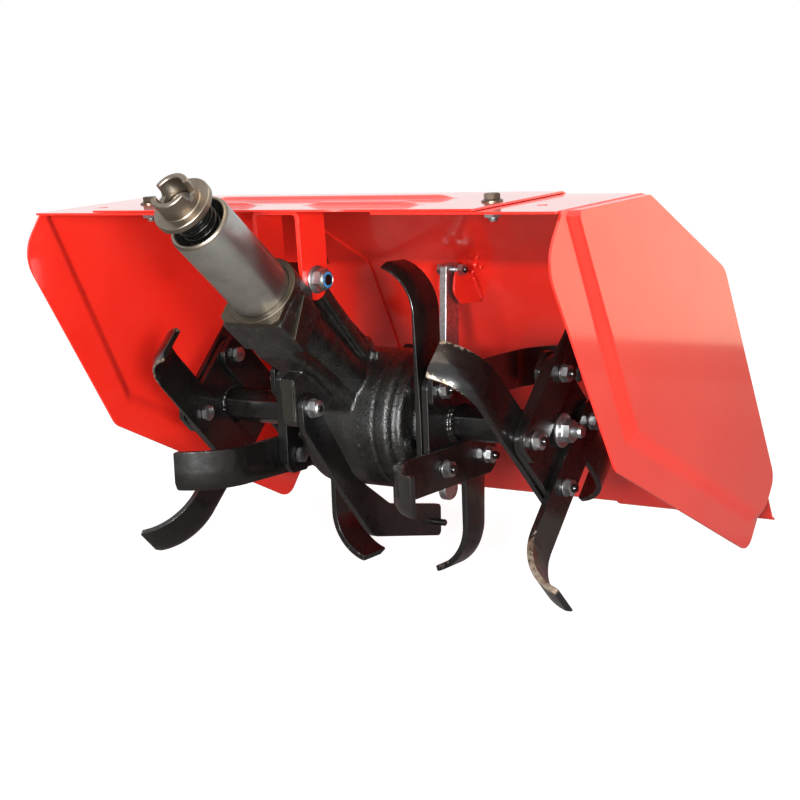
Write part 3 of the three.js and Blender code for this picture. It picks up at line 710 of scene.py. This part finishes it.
def hanger_bracket():
    """One strap bent to a U over the neck, with round ends, a long bolt, a washer and a lock nut."""
    half_gap = NECK_HALF + 1 + HANG_T
    left, right = NECK_X - half_gap, NECK_X + half_gap
    end = HANG_W / 2
    bend = 9
    arc = []
    for k in range(11):
        turn = radians(90 - 9 * k)
        arc.append((HANG_Z - end * sin(turn), end * cos(turn)))
    path = [(right, z, HANG_Y - w - 0.01, HANG_Y + w + 0.01) for z, w in arc]
    for k in range(7):
        t = pi / 2 * k / 6
        path.append((right - bend + bend * cos(t), -0.3 - bend + bend * sin(t), HANG_Y - end, HANG_Y + end))
    path += [(2 * NECK_X - x, z, y0, y1) for x, z, y0, y1 in reversed(path)]
    bm = ribbon(path)
    outwards(bm, (0, 0, 1))
    piece("hanger_bracket_painted", bm, "frame", "red_enamel", RED, replaces=["hanger_bracket"],
          wall=HANG_T, edge=0.8, crease=50)
    welds = bmesh.new()
    for x in (left + 2, right - 2):
        out = 1 if x > NECK_X else -1
        add(welds, seam((x + out * 1.5, HANG_Y - 17, -1.6), (x + out * 1.5, HANG_Y + 17, -1.6), 2.6))
    piece("hanger_bracket_welds", welds, "frame", "red_enamel", RED)
    bolt = bmesh.new()
    at = facing(1, right, HANG_Y, HANG_Z)
    add(bolt, ring(M14[0] + 0.3, 15, 0.1, 2.7), at)
    nut_at = at @ Matrix.Translation((0, 0, 2.7))
    add(bolt, lathe([(0, 0), (14, 0), (14, 0.8), (11, 2.4), (0, 2.4)]), nut_at)
    add(bolt, nut(M14[1], M14[2] - 2), nut_at @ Matrix.Translation((0, 0, 1)) @ Matrix.Rotation(0.2, 4, "Z"))
    # the rolled collar that holds the nylon ring
    cap = [(0, 9), (10.2, 9), (10.2, 12), (9.6, 13.4), (8.6, 13.8), (8.2, 13.2), (0, 13.2)]
    add(bolt, lathe(cap), nut_at)
    add(bolt, ring(M14[0] - 1, 8.3, 12.9, 13.7), nut_at, 1)
    add(bolt, thread(M14[0] - 0.4, 12, 14.6), nut_at, 2)
    head = facing(-1, left, HANG_Y, HANG_Z)
    add(bolt, nut(M14[1], 9), head)
    piece("hanger_bolt", bolt, "frame", "zinc_steel", ZINC, NYLON, BLACK)


def rear_lug():
    """Two ears welded to a plate on the rear wall, with the bolt that carries the support bar."""
    y, z, x0, x1, t, play = LUG_Y, LUG_Z, 2.5, 12.5, 3, 4
    wall_at = lambda h: SLOPE_Y + (h - SLOPE_Z) * (WALL_Y - SLOPE_Y) / (WALL_Z - SLOPE_Z) - SEAT
    top, low = z + 8, z - 29
    bm = bmesh.new()
    for x in (x0 - play - t, x1 + play):
        ear = rounded([(wall_at(top), top), (y - 8, z + 18, 8), (y - 16, z - 8, 12), (y, z - 25, 10),
                       (wall_at(low), low)])
        add(bm, prism(ear, 0, t), facing(1, x, 0, 0))
    back = [(wall_at(top - 1), top - 1), (wall_at(top - 1) - t, top - 2), (wall_at(low + 1) - t, low + 1),
            (wall_at(low + 1), low + 1)]
    add(bm, prism(back, x0 - play - t, x1 + play + t), facing(1, 0, 0, 0))
    piece("rear_lug_painted", bm, "frame", "red_enamel", RED, replaces=["rear_lug"], edge=0.7, crease=40)
    welds = bmesh.new()
    for x, out in ((x0 - play - t, -1), (x1 + play + t, 1)):
        add(welds, seam((x + out, wall_at(top) - 3, top - 4), (x + out, wall_at(low) - 3, low + 4), 2.8))
    for k in range(7):
        x, z = x0 - 7 + 6.5 * k, top + 3 + 3 * (k * 3 % 4)
        blob = bmesh.new()
        bmesh.ops.create_uvsphere(blob, u_segments=14, v_segments=9, radius=2.4 + 0.6 * (k % 3))
        add(welds, blob, Matrix.Translation((x, wall_at(z) - 4.8, z)))
    piece("rear_lug_welds", welds, "frame", "red_enamel", RED)
    bolt = bmesh.new()
    at = facing(1, x1 + play + t, y, z)
    add(bolt, nut(M8[1], M8[2]), at)
    add(bolt, thread(M8[0], M8[2] - 1, M8[2] + 3, 1.25), at, 1)
    add(bolt, rod(M8[0], play * -2 - 2 * t - (x1 - x0) - 1, 0.5, steps=24), at)
    add(bolt, nut(M8[1], 5.4), facing(-1, x0 - play - t, y, z))
    piece("rear_lug_bolt", bolt, "frame", "zinc_steel", ZINC, BLACK)


def support_bar():
    wide, top, low = 30, LUG_Z + 25, LUG_Z - 261
    lean = lambda h: LUG_Y - 21.4 + (h - LUG_Z) * 0.113
    bm = prism(rounded([(lean(top), top, 4), (lean(low), low, 14), (lean(low) + wide, low, 14),
                        (lean(top) + wide, top, 4)]), 2.5, 12.5)
    piece("support_bar_plated", bm, "frame", "zinc_steel", ZINC, place=MACHINE @ facing(1, 0, 0, 0),
          replaces=["support_bar"], edge=1.2)


# ---- gearbox ---------------------------------------------------------------------------------------
NECK_MM = Matrix.Translation((NECK_X, ROTOR_Y, ROTOR_Z)) @ Matrix.Rotation(radians(NECK_ANGLE - 90), 4, "X")


def neck_slab(outline, x0, x1):
    """A slab from x0 to x1 off the neck's middle, of an outline of (s, n) along the neck and up from it."""
    bm = prism([(n, s) for s, n in outline], x0, x1)
    bm.transform(Matrix(((0, 0, 1, 0), (1, 0, 0, 0), (0, 1, 0, 0), (0, 0, 0, 1))))
    return bm


def cast_body():
    """The case and its neck: turned and slab shapes run together and softened, as sand moulding does."""
    bm = bmesh.new()
    half = [(0, 84), (43, 84), (46, 81), (46, 75), (50, 72.5), (66, 71), (70, 68), (70, 62), (77, 59),
            (80, 56), (80, 44), (78.4, 42.5), (78.4, 39.5), (80, 38)]
    add(bm, lathe(half + [(r, -z) for r, z in reversed(half)], 96), facing(1))
    neck = lambda part: add(bm, part, NECK_MM)
    neck(rod(31, 36, SHOULDER - 14, 1, 64))
    web = rounded([(40, -34), (150, -38, 10), (197, -46, 10), (SHOULDER - 13, -36), (SHOULDER - 13, 20),
                   (236, 54, 14), (206, 54, 14), (130, 48, 10), (60, 48), (40, 30)])
    neck(neck_slab(web, -NECK_HALF + 3, NECK_HALF - 3))
    neck(neck_slab(rounded([(80, -30), (150, -36, 8), (197, -44, 8), (240, -38), (240, -24), (190, -30, 8),
                            (150, -24, 8), (80, -20)]), -NECK_HALF, NECK_HALF))
    # two straps that stiffen each side of the neck
    for side in (-1, 1):
        reach = sorted((side * 20, side * (NECK_HALF + (5 if side > 0 else 0))))
        neck(neck_slab(rounded([(92, 22), (205, 34), (214, 50), (182, 46), (92, 34)]), *reach))
        neck(neck_slab(rounded([(84, -6, 3), (120, -4, 3), (150, 6, 3), (150, 14, 3),
                                (118, 6, 3), (84, 6, 3)]),
                       *sorted((side * 26, side * 31))))
    neck(neck_slab([(44, 42), (74, 28), (79, 40), (54, 56)], 16, 31))
    neck(box(-40, 40, -40, 12, SHOULDER - 57, SHOULDER - 11))
    neck(rod(41, SHOULDER - 40, SHOULDER - 7, 1, 64))
    neck(box(-39, 39, -40, -3, SHOULDER - 16, SHOULDER - 7))
    add(bm, rod(18, NECK_X - NECK_HALF, NECK_X + NECK_HALF), facing(1, 0, HANG_Y, HANG_Z))
    ear = rounded([(EAR_Y - EAR_R, EAR_Z + 34), (EAR_Y - EAR_R, EAR_Z - EAR_R, 9),
                   (EAR_Y + EAR_R, EAR_Z - EAR_R, 9), (EAR_Y + 80, EAR_Z + 10), (EAR_Y + 60, EAR_Z + 60)])
    add(bm, prism(ear, EAR_X0, EAR_X1), facing(1, 0, 0, 0))
    plug = Matrix.Translation((8, ROTOR_Y, ROTOR_Z)) @ Matrix.Rotation(radians(-39), 4, "X")
    add(bm, rod(15, 60, CASE_R + 3, 2), plug)
    # bolt bosses of the two covers
    for side in (-1, 1):
        for k in range(6):
            turn = radians(60 * k + 15)
            at = facing(side, side * (CASE_HALF + 2), ROTOR_Y + 58 * cos(turn), ROTOR_Z + 58 * sin(turn))
            add(bm, rod(7.5, 0, COVER + 1, 1, 24), at)
    bm.transform(MACHINE)
    mesh = bpy.data.meshes.new("rough_casting")
    bm.to_mesh(mesh)
    bm.free()
    rough = bpy.data.objects.new("rough_casting", mesh)
    bpy.context.scene.collection.objects.link(rough)
    skin = rough.modifiers.new("skin", "REMESH")
    skin.mode = "VOXEL"
    skin.voxel_size = 0.0019
    bpy.context.view_layer.update()
    out = bmesh.new()
    out.from_object(rough, bpy.context.evaluated_depsgraph_get())
    bpy.data.objects.remove(rough)
    for _ in range(2):
        bmesh.ops.smooth_vert(out, verts=out.verts, factor=0.5,
                              use_axis_x=True, use_axis_y=True, use_axis_z=True)
    piece("gearbox_casting", out, "frame", "cast_black", CAST, place=Matrix(), replaces=["gearbox_case"],
          crease=180)


def gearbox_fittings():
    """The machined face round the sleeve's foot, the bearing covers, the filler plug and the cover bolts."""
    bm = bmesh.new()
    outer = 41.5
    add(bm, ring(SLEEVE_R + 0.3, outer, SHOULDER - 8, SHOULDER, 0.8, 96), NECK_MM)
    corner = rounded([(39, -3), (39, -34, 3), (31, -40.5, 2), (-31, -40.5, 2), (-39, -34, 3), (-39, -3),
                      (-30, -22), (0, -37), (30, -22)])
    add(bm, prism(corner, SHOULDER - 7.5, SHOULDER - 1), NECK_MM)
    # the ground edge of the neck's flange and the rubbed face of the skid's ear
    add(bm, neck_slab([(240, 8), (231, 8), (217, -39), (226, -39)], 37, 42.5), NECK_MM)
    rubbed = box(EAR_X0 + 1, EAR_X1 - 1, EAR_Y - EAR_R - 0.8, EAR_Y - EAR_R + 2, EAR_Z - 9, EAR_Z + 33)
    add(bm, rubbed, material=1)
    piece("neck_ring", bm, "frame", "machined_steel", RING, RUBBED, edge=0.5)
    covers = bmesh.new()
    for side in (-1, 1):
        add(covers, ring(SHAFT_R + 0.6, 44, HUB_END - 3, HUB_END, 1.2, 72), facing(side))
        add(covers, ring(24, 35, HUB_END - 1, HUB_END + 0.8, 0.5, 72), facing(side))
    piece("hub_faces", covers, "frame", "cast_black", BLACK)
    small = bmesh.new()
    plug = Matrix.Translation((8, ROTOR_Y, ROTOR_Z)) @ Matrix.Rotation(radians(-39), 4, "X")
    add(small, rod(12.5, CASE_R + 1, CASE_R + 5.5, 0.8), plug, 1)
    add(small, nut(19, 6), plug @ Matrix.Translation((0, 0, CASE_R + 5)), 0)
    for side in (-1, 1):
        for k in range(6):
            turn = radians(60 * k + 15)
            y, z = ROTOR_Y + 58 * cos(turn), ROTOR_Z + 58 * sin(turn)
            add(small, nut(10, 4.4), facing(side, side * (CASE_HALF + COVER + 2.4), y, z), 0)
    piece("gearbox_bolts", small, "frame", "cast_black", BLACK, YELLOWED)


def input_sleeve():
    """A turned tube, its mouth chamfered outside and in."""
    inner = SLEEVE_R - SLEEVE_WALL
    bm = bmesh.new()
    foot = SHOULDER - 7.7
    add(bm, lathe([(inner, foot), (SLEEVE_R, foot), (SLEEVE_R, SLEEVE_END - 3.6),
                   (SLEEVE_R - 0.6, SLEEVE_END - 2.2), (SLEEVE_R - 1.9, SLEEVE_END - 0.4),
                   (SLEEVE_R - 2.6, SLEEVE_END), (inner + 0.8, SLEEVE_END),
                   (inner, SLEEVE_END - 0.8), (inner, foot)], 128))
    bm.faces.ensure_lookup_table()
    for f in bm.faces:
        if f.calc_center_median().z > SLEEVE_END - 3.7:
            f.material_index = 1
    piece("input_sleeve_turned", bm, "frame", "machined_steel", STEEL, MOUTH, place=NECK,
          replaces=["input_sleeve"])


def input_drive():
    """Input shaft with its spring seat, the coil spring and the dog it pushes outwards."""
    bm = bmesh.new()
    flange_z, flange_end = 402, 409
    wire, turns, coil, coil_start = 2.0, 6, 19.5, 352
    seat = coil_start - wire - SEAT
    add(bm, rod(14, SHOULDER - 30, flange_end + 2, 1.5, 64))
    add(bm, ring(13.5, 22, seat - 12, seat, 0.8, 64))
    piece("input_shaft_turned", bm, "drive", "machined_steel", STEEL, place=NECK,
          replaces=["input_shaft"])

    z0, z1 = coil_start, flange_z - wire - SEAT
    steps = 40 * turns
    spring = bmesh.new()
    section = Matrix.Translation((coil, 0, z0)) @ Matrix.Rotation(pi / 2, 4, "X")
    circle = bmesh.ops.create_circle(spring, cap_ends=True, segments=14, radius=wire, matrix=section)
    faces = list({f for v in circle["verts"] for f in v.link_faces})
    bmesh.ops.spin(spring, geom=circle["verts"] + list({e for f in faces for e in f.edges}) + faces,
                   cent=(0, 0, 0), axis=(0, 0, 1), dvec=(0, 0, (z1 - z0) / steps),
                   angle=2 * pi * turns, steps=steps)
    closed(spring)
    piece("clutch_spring_coil", spring, "drive", "black_enamel", SPRING, place=NECK, replaces=["clutch_spring"],
          crease=60)

    collar, bore, top = 21.5, 15.5, 431
    dog = lathe([(14.3, flange_z - 5), (17, flange_z - 5), (17, flange_z), (31.4, flange_z),
                 (32, flange_z + 0.6), (32, flange_end - 0.8), (31.2, flange_end), (collar + 1, flange_end),
                 (collar, flange_end + 1), (collar, top - 1), (collar - 1, top), (bore + 1, top),
                 (bore, top - 1), (bore, flange_end + 4), (14.3, flange_end + 4), (14.3, flange_z - 5)], 180)
    closed(dog)
    # two notches with round bottoms, cut down into the collar
    half_notch, depth = 9, 14.5
    for v in dog.verts:
        r = hypot(v.co.x, v.co.y)
        if v.co.z > flange_end + 4.5 and r > bore - 0.5:
            for middle in (186, 6):
                away = (degrees(atan2(v.co.y, v.co.x)) - middle + 180) % 360 - 180
                across = abs(radians(away)) * collar / half_notch
                if across < 1:
                    fall = depth * (1 - across ** 6) ** 0.5
                    v.co.z = min(v.co.z, top - fall)
    piece("clutch_dog_turned", dog, "drive", "machined_steel", MOUTH, place=NECK,
          replaces=["clutch_dog"], crease=30)


# ---- skid ------------------------------------------------------------------------------------------
def depth_skid():
    """A flat bar cut to the curve of the case, hung on the ear's bolt, with a pin through its tail."""
    thick = 8
    x0 = EAR_X1 + SEAT
    off = lambda deg, gap, r: (ROTOR_Y + (CASE_R + gap) * cos(radians(deg)),
                               ROTOR_Z + (CASE_R + gap) * sin(radians(deg)), r)
    pin_z = ROTOR_Z - 146
    end = LUG_Y - 21.4 + (pin_z - LUG_Z) * 0.113 - 8
    outline = rounded([(EAR_Y - 16, EAR_Z + 16, 14), (EAR_Y - 16, EAR_Z - 20, 30), off(212, 40, 40),
                       off(249, 59, 30), (end - 1, pin_z - 20, 6), (end + 2, pin_z + 19, 6), off(263, 21, 30),
                       off(212, 14, 40), (EAR_Y + 18, EAR_Z - 10, 30), (EAR_Y + 16, EAR_Z + 16, 14)], 12)
    piece("depth_skid_plate", prism(outline, x0, x0 + thick), "frame", "black_enamel", BLADE,
          place=MACHINE @ facing(1, 0, 0, 0), replaces=["depth_skid"], edge=1.0)
    bm = bmesh.new()
    at = facing(1, x0 + thick, EAR_Y, EAR_Z)
    add(bm, lathe([(0, 0), (10.5, 0), (10.5, 1.8), (0, 1.8)]), at)
    add(bm, nut(M10[1], M10[2] - 2), at @ Matrix.Translation((0, 0, 1.6)))
    add(bm, lathe([(0, 8), (7.6, 8), (7.6, 10.6), (6.4, 12), (0, 12)]), at)
    add(bm, thread(M10[0] - 0.6, 11.5, 12.6), at, 1)
    # the bolt's hexagon head on the ear's other face
    add(bm, nut(M10[1], 6.5), facing(-1, EAR_X0 - SEAT, EAR_Y, EAR_Z))
    piece("skid_bolt", bm, "frame", "zinc_steel", ZINC, BLACK)
    pin = bmesh.new()
    add(pin, rod(M8[0], x0 - 8, x0 + thick + 14, 1.2, 24), facing(1, 0, end - 11, pin_z))
    piece("skid_pin", pin, "frame", "black_enamel", BLACK)


# ---- rotor -----------------------------------------------------------------------------------------
def from_axis(degrees_up, distance):
    turn = radians(degrees_up)
    return ROTOR_Y + distance * cos(turn), ROTOR_Z + distance * sin(turn)


def output_shaft():
    bm = bmesh.new()
    tip, step = TUBE_IN + 40, TUBE_IN - 2
    half = [(0, tip), (12.9, tip), (13.7, tip - 0.8), (13.7, step), (16.4, step), (17, step - 0.6), (17, 0)]
    add(bm, lathe(half + [(r, -z) for r, z in reversed(half[:-1])], 64), facing(1))
    piece("output_shaft_turned", bm, "rotor", "machined_steel", STEEL, replaces=["output_shaft"])


def hexagon(across, step=0.0):
    corner = across / sqrt(3)
    return [(corner * cos(radians(60 * k + step)), corner * sin(radians(60 * k + step))) for k in range(6)]


def axle(name, side):
    """Hexagon tube, welded to both flanges, and the nut on its end."""
    tube_end = OUTER_X + 4
    bm = bmesh.new()
    tube = prism([(y, z) for z, y in rounded([(*p, 2.5) for p in hexagon(AXLE_AF)], 3)], TUBE_IN, tube_end)
    add(bm, tube, facing(side))
    for x in (INNER_X, INNER_X - FLANGE_T, OUTER_X - FLANGE_T, OUTER_X):
        outboard = x in (INNER_X, OUTER_X)
        if x != OUTER_X:
            add(bm, weld_ring(AXLE_CORNER + 2.2, 3.1, x + (1.2 if outboard else -1.2)), facing(side), 0)
    add(bm, weld_ring(AXLE_CORNER + 6.6, 2.5, INNER_X + 0.8, 30), facing(side), 0)
    piece(f"axle_{name}_tube", bm, "rotor", "black_enamel", BLACK, replaces=[f"axle_{name}"])
    end = bmesh.new()
    face = tube_end + SEAT
    at = facing(side, side * face)
    add(end, ring(M14[0], AXLE_AF / 2 + 0.5, 0, 3, 0.5), at)
    split = lathe([(M14[0] + 0.5, 3), (12, 3), (12, 6), (M14[0] + 0.5, 6), (M14[0] + 0.5, 3)])
    add(end, split, at)
    add(end, nut(M14[1], M14[2] - 1), at @ Matrix.Translation((0, 0, 4)) @ Matrix.Rotation(0.35, 4, "Z"))
    add(end, thread(M14[0], 14, 26, 1.8), at)
    add(end, rod(M14[0] - 0.3, -20, 15, steps=32), at)
    piece(f"axle_end_nut_{name}", end, "rotor", "zinc_steel", ZINC, replaces=[f"axle_end_bolt_{name}"])


def blade_flange(name, side, row, x, phase):
    """Square plate, round at its corners, and the blades' bolts: nuts outboard, heads inboard."""
    outline = []
    for q in range(4):
        y, z = from_axis(phase + 90 * q, BOLT_CIRCLE)
        outline += [(y + FLANGE_LIP * cos(radians(phase + 90 * q + t)),
                     z + FLANGE_LIP * sin(radians(phase + 90 * q + t))) for t in range(-45, 46, 9)]
    x0, x1 = sorted((side * (x - FLANGE_T), side * x))
    piece(f"blade_flange_{name}_{row}_plate", prism(outline, x0, x1), "rotor", "black_enamel", BLACK,
          place=MACHINE @ facing(1, 0, 0, 0), replaces=[f"blade_flange_{name}_{row}"], edge=0.9)
    bolts = bmesh.new()
    for q in range(4):
        y, z = from_axis(phase + 90 * q, BOLT_CIRCLE)
        twist = Matrix.Rotation(radians(23 * q + 7), 4, "Z")
        # a blade lies under the nut of each even bolt and its neighbour, so all four stand on blades
        at = facing(side, side * (x + TINE_T + 2 * SEAT), y, z)
        add(bolts, ring(M10[0], 10, 0, 1.8, 0.3, 32), at)
        add(bolts, nut(M10[1] - 0.4, M10[2] - 2.4), at @ Matrix.Translation((0, 0, 1.7)) @ twist)
        add(bolts, thread(M10[0], 9, 13.8), at, 1)
        head = facing(-side, side * (x - FLANGE_T - TINE_T - 2 * SEAT), y, z)
        add(bolts, nut(M10[1] - 0.4, 6), head @ twist)
        add(bolts, rod(M10[0], -24, 1, steps=20), head, 1)
    piece(f"blade_bolts_{name}_{row}", bolts, "rotor", "zinc_steel", ZINC, BLACK)


def blade(name, side, row, k, x, phase, rub_and_highlight):
    """A flat bar past its two bolts, then bent away; one long edge is ground, the corners are forged round.

    The rub values say how far the paint has gone and how much highlight is painted: along the edges, at the tip
    and on the outside of the bend."""
    outboard = k % 2 == 0
    out = side if outboard else -side
    face = side * (x + SEAT if outboard else x - FLANGE_T - SEAT)
    bend = BEND_OUT if outboard else BEND_IN
    turn = radians(SWEEP)
    end, ground, half = 20, 9, TINE_W / 2
    flat_end = BOLT_PITCH + REACH - bend * sin(turn)
    length = flat_end + bend * turn
    bm = bmesh.new()
    bmesh.ops.create_cube(bm, size=1)
    bmesh.ops.scale(bm, verts=bm.verts, vec=(length + end, TINE_W, TINE_T))
    bmesh.ops.translate(bm, verts=bm.verts, vec=((length - end) / 2, 0, TINE_T / 2))
    stations = [-end + 2 * j for j in range(1, 9)] + [10, 34, 60, BOLT_PITCH + 16]
    stations += [flat_end + bend * turn * j / 36 for j in range(36)] + [length - 3, length - 1]
    for u in stations:
        bmesh.ops.bisect_plane(bm, geom=bm.verts[:] + bm.edges[:] + bm.faces[:], plane_co=(u, 0, 0),
                               plane_no=(1, 0, 0), dist=0.001)
    for v in (-half + 2.5, -half + 8, 0, half - ground, half - 3):
        bmesh.ops.bisect_plane(bm, geom=bm.verts[:] + bm.edges[:] + bm.faces[:], plane_co=(0, v, 0),
                               plane_no=(0, 1, 0), dist=0.001)
    # share of pale metal at each corner: worn paint, and painted highlight on the edges and tip
    wear_and_sheen = bm.verts.layers.float.new("wear_and_sheen")
    grind_from = BOLT_PITCH + 6
    for v in bm.verts:
        u, w = v.co.x, v.co.y
        near_edge = 1 - smooth_step(half - abs(w), 0, 7)
        near_tip = smooth_step(u, length - 60, length)
        in_bend = smooth_step(u, flat_end - 30, flat_end + 30)
        v[wear_and_sheen] = min(1, rub_and_highlight[0] * near_edge * (0.35 + 0.65 * in_bend) + rub_and_highlight[1] * near_tip + rub_and_highlight[2] * in_bend)
        if u < -4:
            v.co.y *= 1 - 0.46 * ((-4 - u) / (end - 4)) ** 2
        if u > length - 2.9:
            v.co.y *= 1 - 0.05 * (u - length + 3) / 3
        if w > half - ground + 0.1 and v.co.z < 1:
            thin = smooth_step(u, grind_from, grind_from + 24) * (w - half + ground) / ground
            v.co.z = 0.65 * TINE_T * thin
    bolt = Vector(from_axis(phase + 90, BOLT_CIRCLE))
    along = Vector((cos(radians(phase - 45)), sin(radians(phase - 45))))
    across = Vector((cos(radians(phase + 45)), sin(radians(phase + 45))))
    for v in bm.verts:
        u, w, h = v.co
        swing = max(0, (u - flat_end) / bend)
        reach = min(u, flat_end) + (bend - h) * sin(swing)
        place = bolt + along * reach + across * w
        v.co = (face + out * (bend - (bend - h) * cos(swing)), place.x, place.y)
    closed(bm)
    piece(f"tine_{name}_{row}_{k + 1}_forged", bm, "rotor", "black_enamel", BLADE,
          replaces=[f"tine_{name}_{row}_{k + 1}"], edge=0.9, crease=40)


# ---- the whole machine -----------------------------------------------------------------------------
# edges, tip and bend of the blades that are rubbed barest; the bright tip of right outer 1 is partly a painted
# highlight
RUB_AND_HIGHLIGHT = {("right", "outer", 2): (0.44, 0.06, 0.1), ("right", "outer", 1): (0.32, 0.22, 0.06),
       ("left", "outer", 1): (0.42, 0.12, 0.06)}
# the rest carry a thin painted highlight along their edges and a little at the tip
PAINTED_EDGE_HIGHLIGHT = (0.3, 0.07, 0.0)
centre_sheet()
hanger_bracket()
rear_lug()
support_bar()
cast_body()
gearbox_fittings()
input_sleeve()
input_drive()
depth_skid()
output_shaft()
for NAME, SIGN in (("right", 1), ("left", -1)):
    side_panel(NAME, SIGN)
    end_plate(NAME, SIGN)
    hood_fixings(SIGN)
    axle(NAME, SIGN)
    for ROW, X, PHASE in (("outer", OUTER_X, OUTER_PHASE), ("inner", INNER_X, INNER_PHASE)):
        blade_flange(NAME, SIGN, ROW, X, PHASE)
        for K in range(4):
            blade(NAME, SIGN, ROW, K, X, PHASE + 90 * K, RUB_AND_HIGHLIGHT.get((NAME, ROW, K), PAINTED_EDGE_HIGHLIGHT))


# ---- camera, light and floor -------------------------------------------------------------------------
def camera():
    """Stands off the right front corner, a little above, rolled as a hand-held one is."""
    data = bpy.data.cameras.new("camera")
    data.lens, data.sensor_width = 74.95, 36
    data.clip_end = 50
    obj = bpy.data.objects.new("camera", data)
    bpy.context.scene.collection.objects.link(obj)
    azimuth, elevation, roll = radians(34.685), radians(9.836), radians(-2.553)
    obj.matrix_world = (Matrix.Translation(AXIS + Vector((1.0926, -1.5431, 0.3456)))
                        @ Matrix.Rotation(azimuth, 4, "Z") @ Matrix.Rotation(pi / 2 - elevation, 4, "X")
                        @ Matrix.Rotation(roll, 4, "Z"))
    bpy.context.scene.camera = obj


def lamp(name, at, toward, wide, high, power, tint=(1, 1, 1)):
    """A soft box, wide by high in metres, shining from one place toward another."""
    data = bpy.data.lights.new(name, "AREA")
    data.shape, data.size, data.size_y, data.energy, data.color = "RECTANGLE", wide, high, power, tint
    obj = bpy.data.objects.new(name, data)
    bpy.context.scene.collection.objects.link(obj)
    direction = Vector(toward) - Vector(at)
    obj.matrix_world = Matrix.Translation(at) @ direction.to_track_quat("-Z", "Y").to_matrix().to_4x4()


def studio():
    scene = bpy.context.scene
    world = bpy.data.worlds.new("studio")
    scene.world = world
    world.use_nodes = True
    nodes, links = world.node_tree.nodes, world.node_tree.links
    back = nodes["Background"]
    back.inputs["Color"].default_value = (1, 1, 1, 1)
    path = nodes.new("ShaderNodeLightPath")
    seen = None
    for ray in ("Is Camera Ray", "Is Glossy Ray", "Is Transmission Ray"):
        if seen is None:
            seen = path.outputs[ray]
            continue
        either = nodes.new("ShaderNodeMath")
        either.operation = "MAXIMUM"
        links.new(seen, either.inputs[0])
        links.new(path.outputs[ray], either.inputs[1])
        seen = either.outputs[0]
    strength = nodes.new("ShaderNodeMapRange")
    strength.inputs["To Min"].default_value = 0.22
    strength.inputs["To Max"].default_value = 1.0
    links.new(seen, strength.inputs["Value"])
    links.new(strength.outputs["Result"], back.inputs["Strength"])
    # the key stands beside the camera, a little higher; a tall box to the right is mirrored in the end plate
    middle = Vector((0, 0, 0.22))

    def stand(azimuth, elevation, distance):
        return middle + distance * Vector((sin(radians(azimuth)) * cos(radians(elevation)),
                                           -cos(radians(azimuth)) * cos(radians(elevation)),
                                           sin(radians(elevation))))

    lamp("key", stand(43, 8, 2.7), middle, 0.35, 0.35, 62)
    lamp("front_fill", stand(20, 7, 3.0), middle, 0.7, 0.3, 104)
    lamp("overhead", stand(20, 80, 2.2), middle, 1.6, 1.6, 30, (1, 0.82, 0.6))
    lamp("right_box", (1.05, 1.4, 0.335), (1.05, 0, 0.335), 1.1, 0.54, 2.9, (1, 0.8, 0.56))


def floor():
    """White paper: it glows to the camera as paper lit from below does, and keeps a soft shadow."""
    bm = bmesh.new()
    bmesh.ops.create_grid(bm, x_segments=1, y_segments=1, size=20)
    mesh = bpy.data.meshes.new("floor")
    bm.to_mesh(mesh)
    bm.free()
    mat, s = surface("white_paper", Roughness=0.95, Specular_IOR_Level=0.1)
    s.inputs["Base Color"].default_value = linear("#A0A0A0")
    seen = node(mat, "LightPath").outputs["Is Camera Ray"]
    glow = node(mat, "Emission", Strength=0.9)
    both = node(mat, "AddShader")
    link(mat, s.outputs[0], both, 0)
    link(mat, glow.outputs[0], both, 1)
    pick = node(mat, "MixShader", {"Fac": seen})
    link(mat, s.outputs[0], pick, 1)
    link(mat, both.outputs[0], pick, 2)
    link(mat, pick.outputs[0], mat.node_tree.nodes["Material Output"], "Surface")
    mesh.materials.append(mat)
    obj = bpy.data.objects.new("floor", mesh)
    bpy.context.scene.collection.objects.link(obj)
    obj.location.z = -0.001


camera()
studio()
floor()
scene = bpy.context.scene
scene.view_settings.view_transform = "Standard"
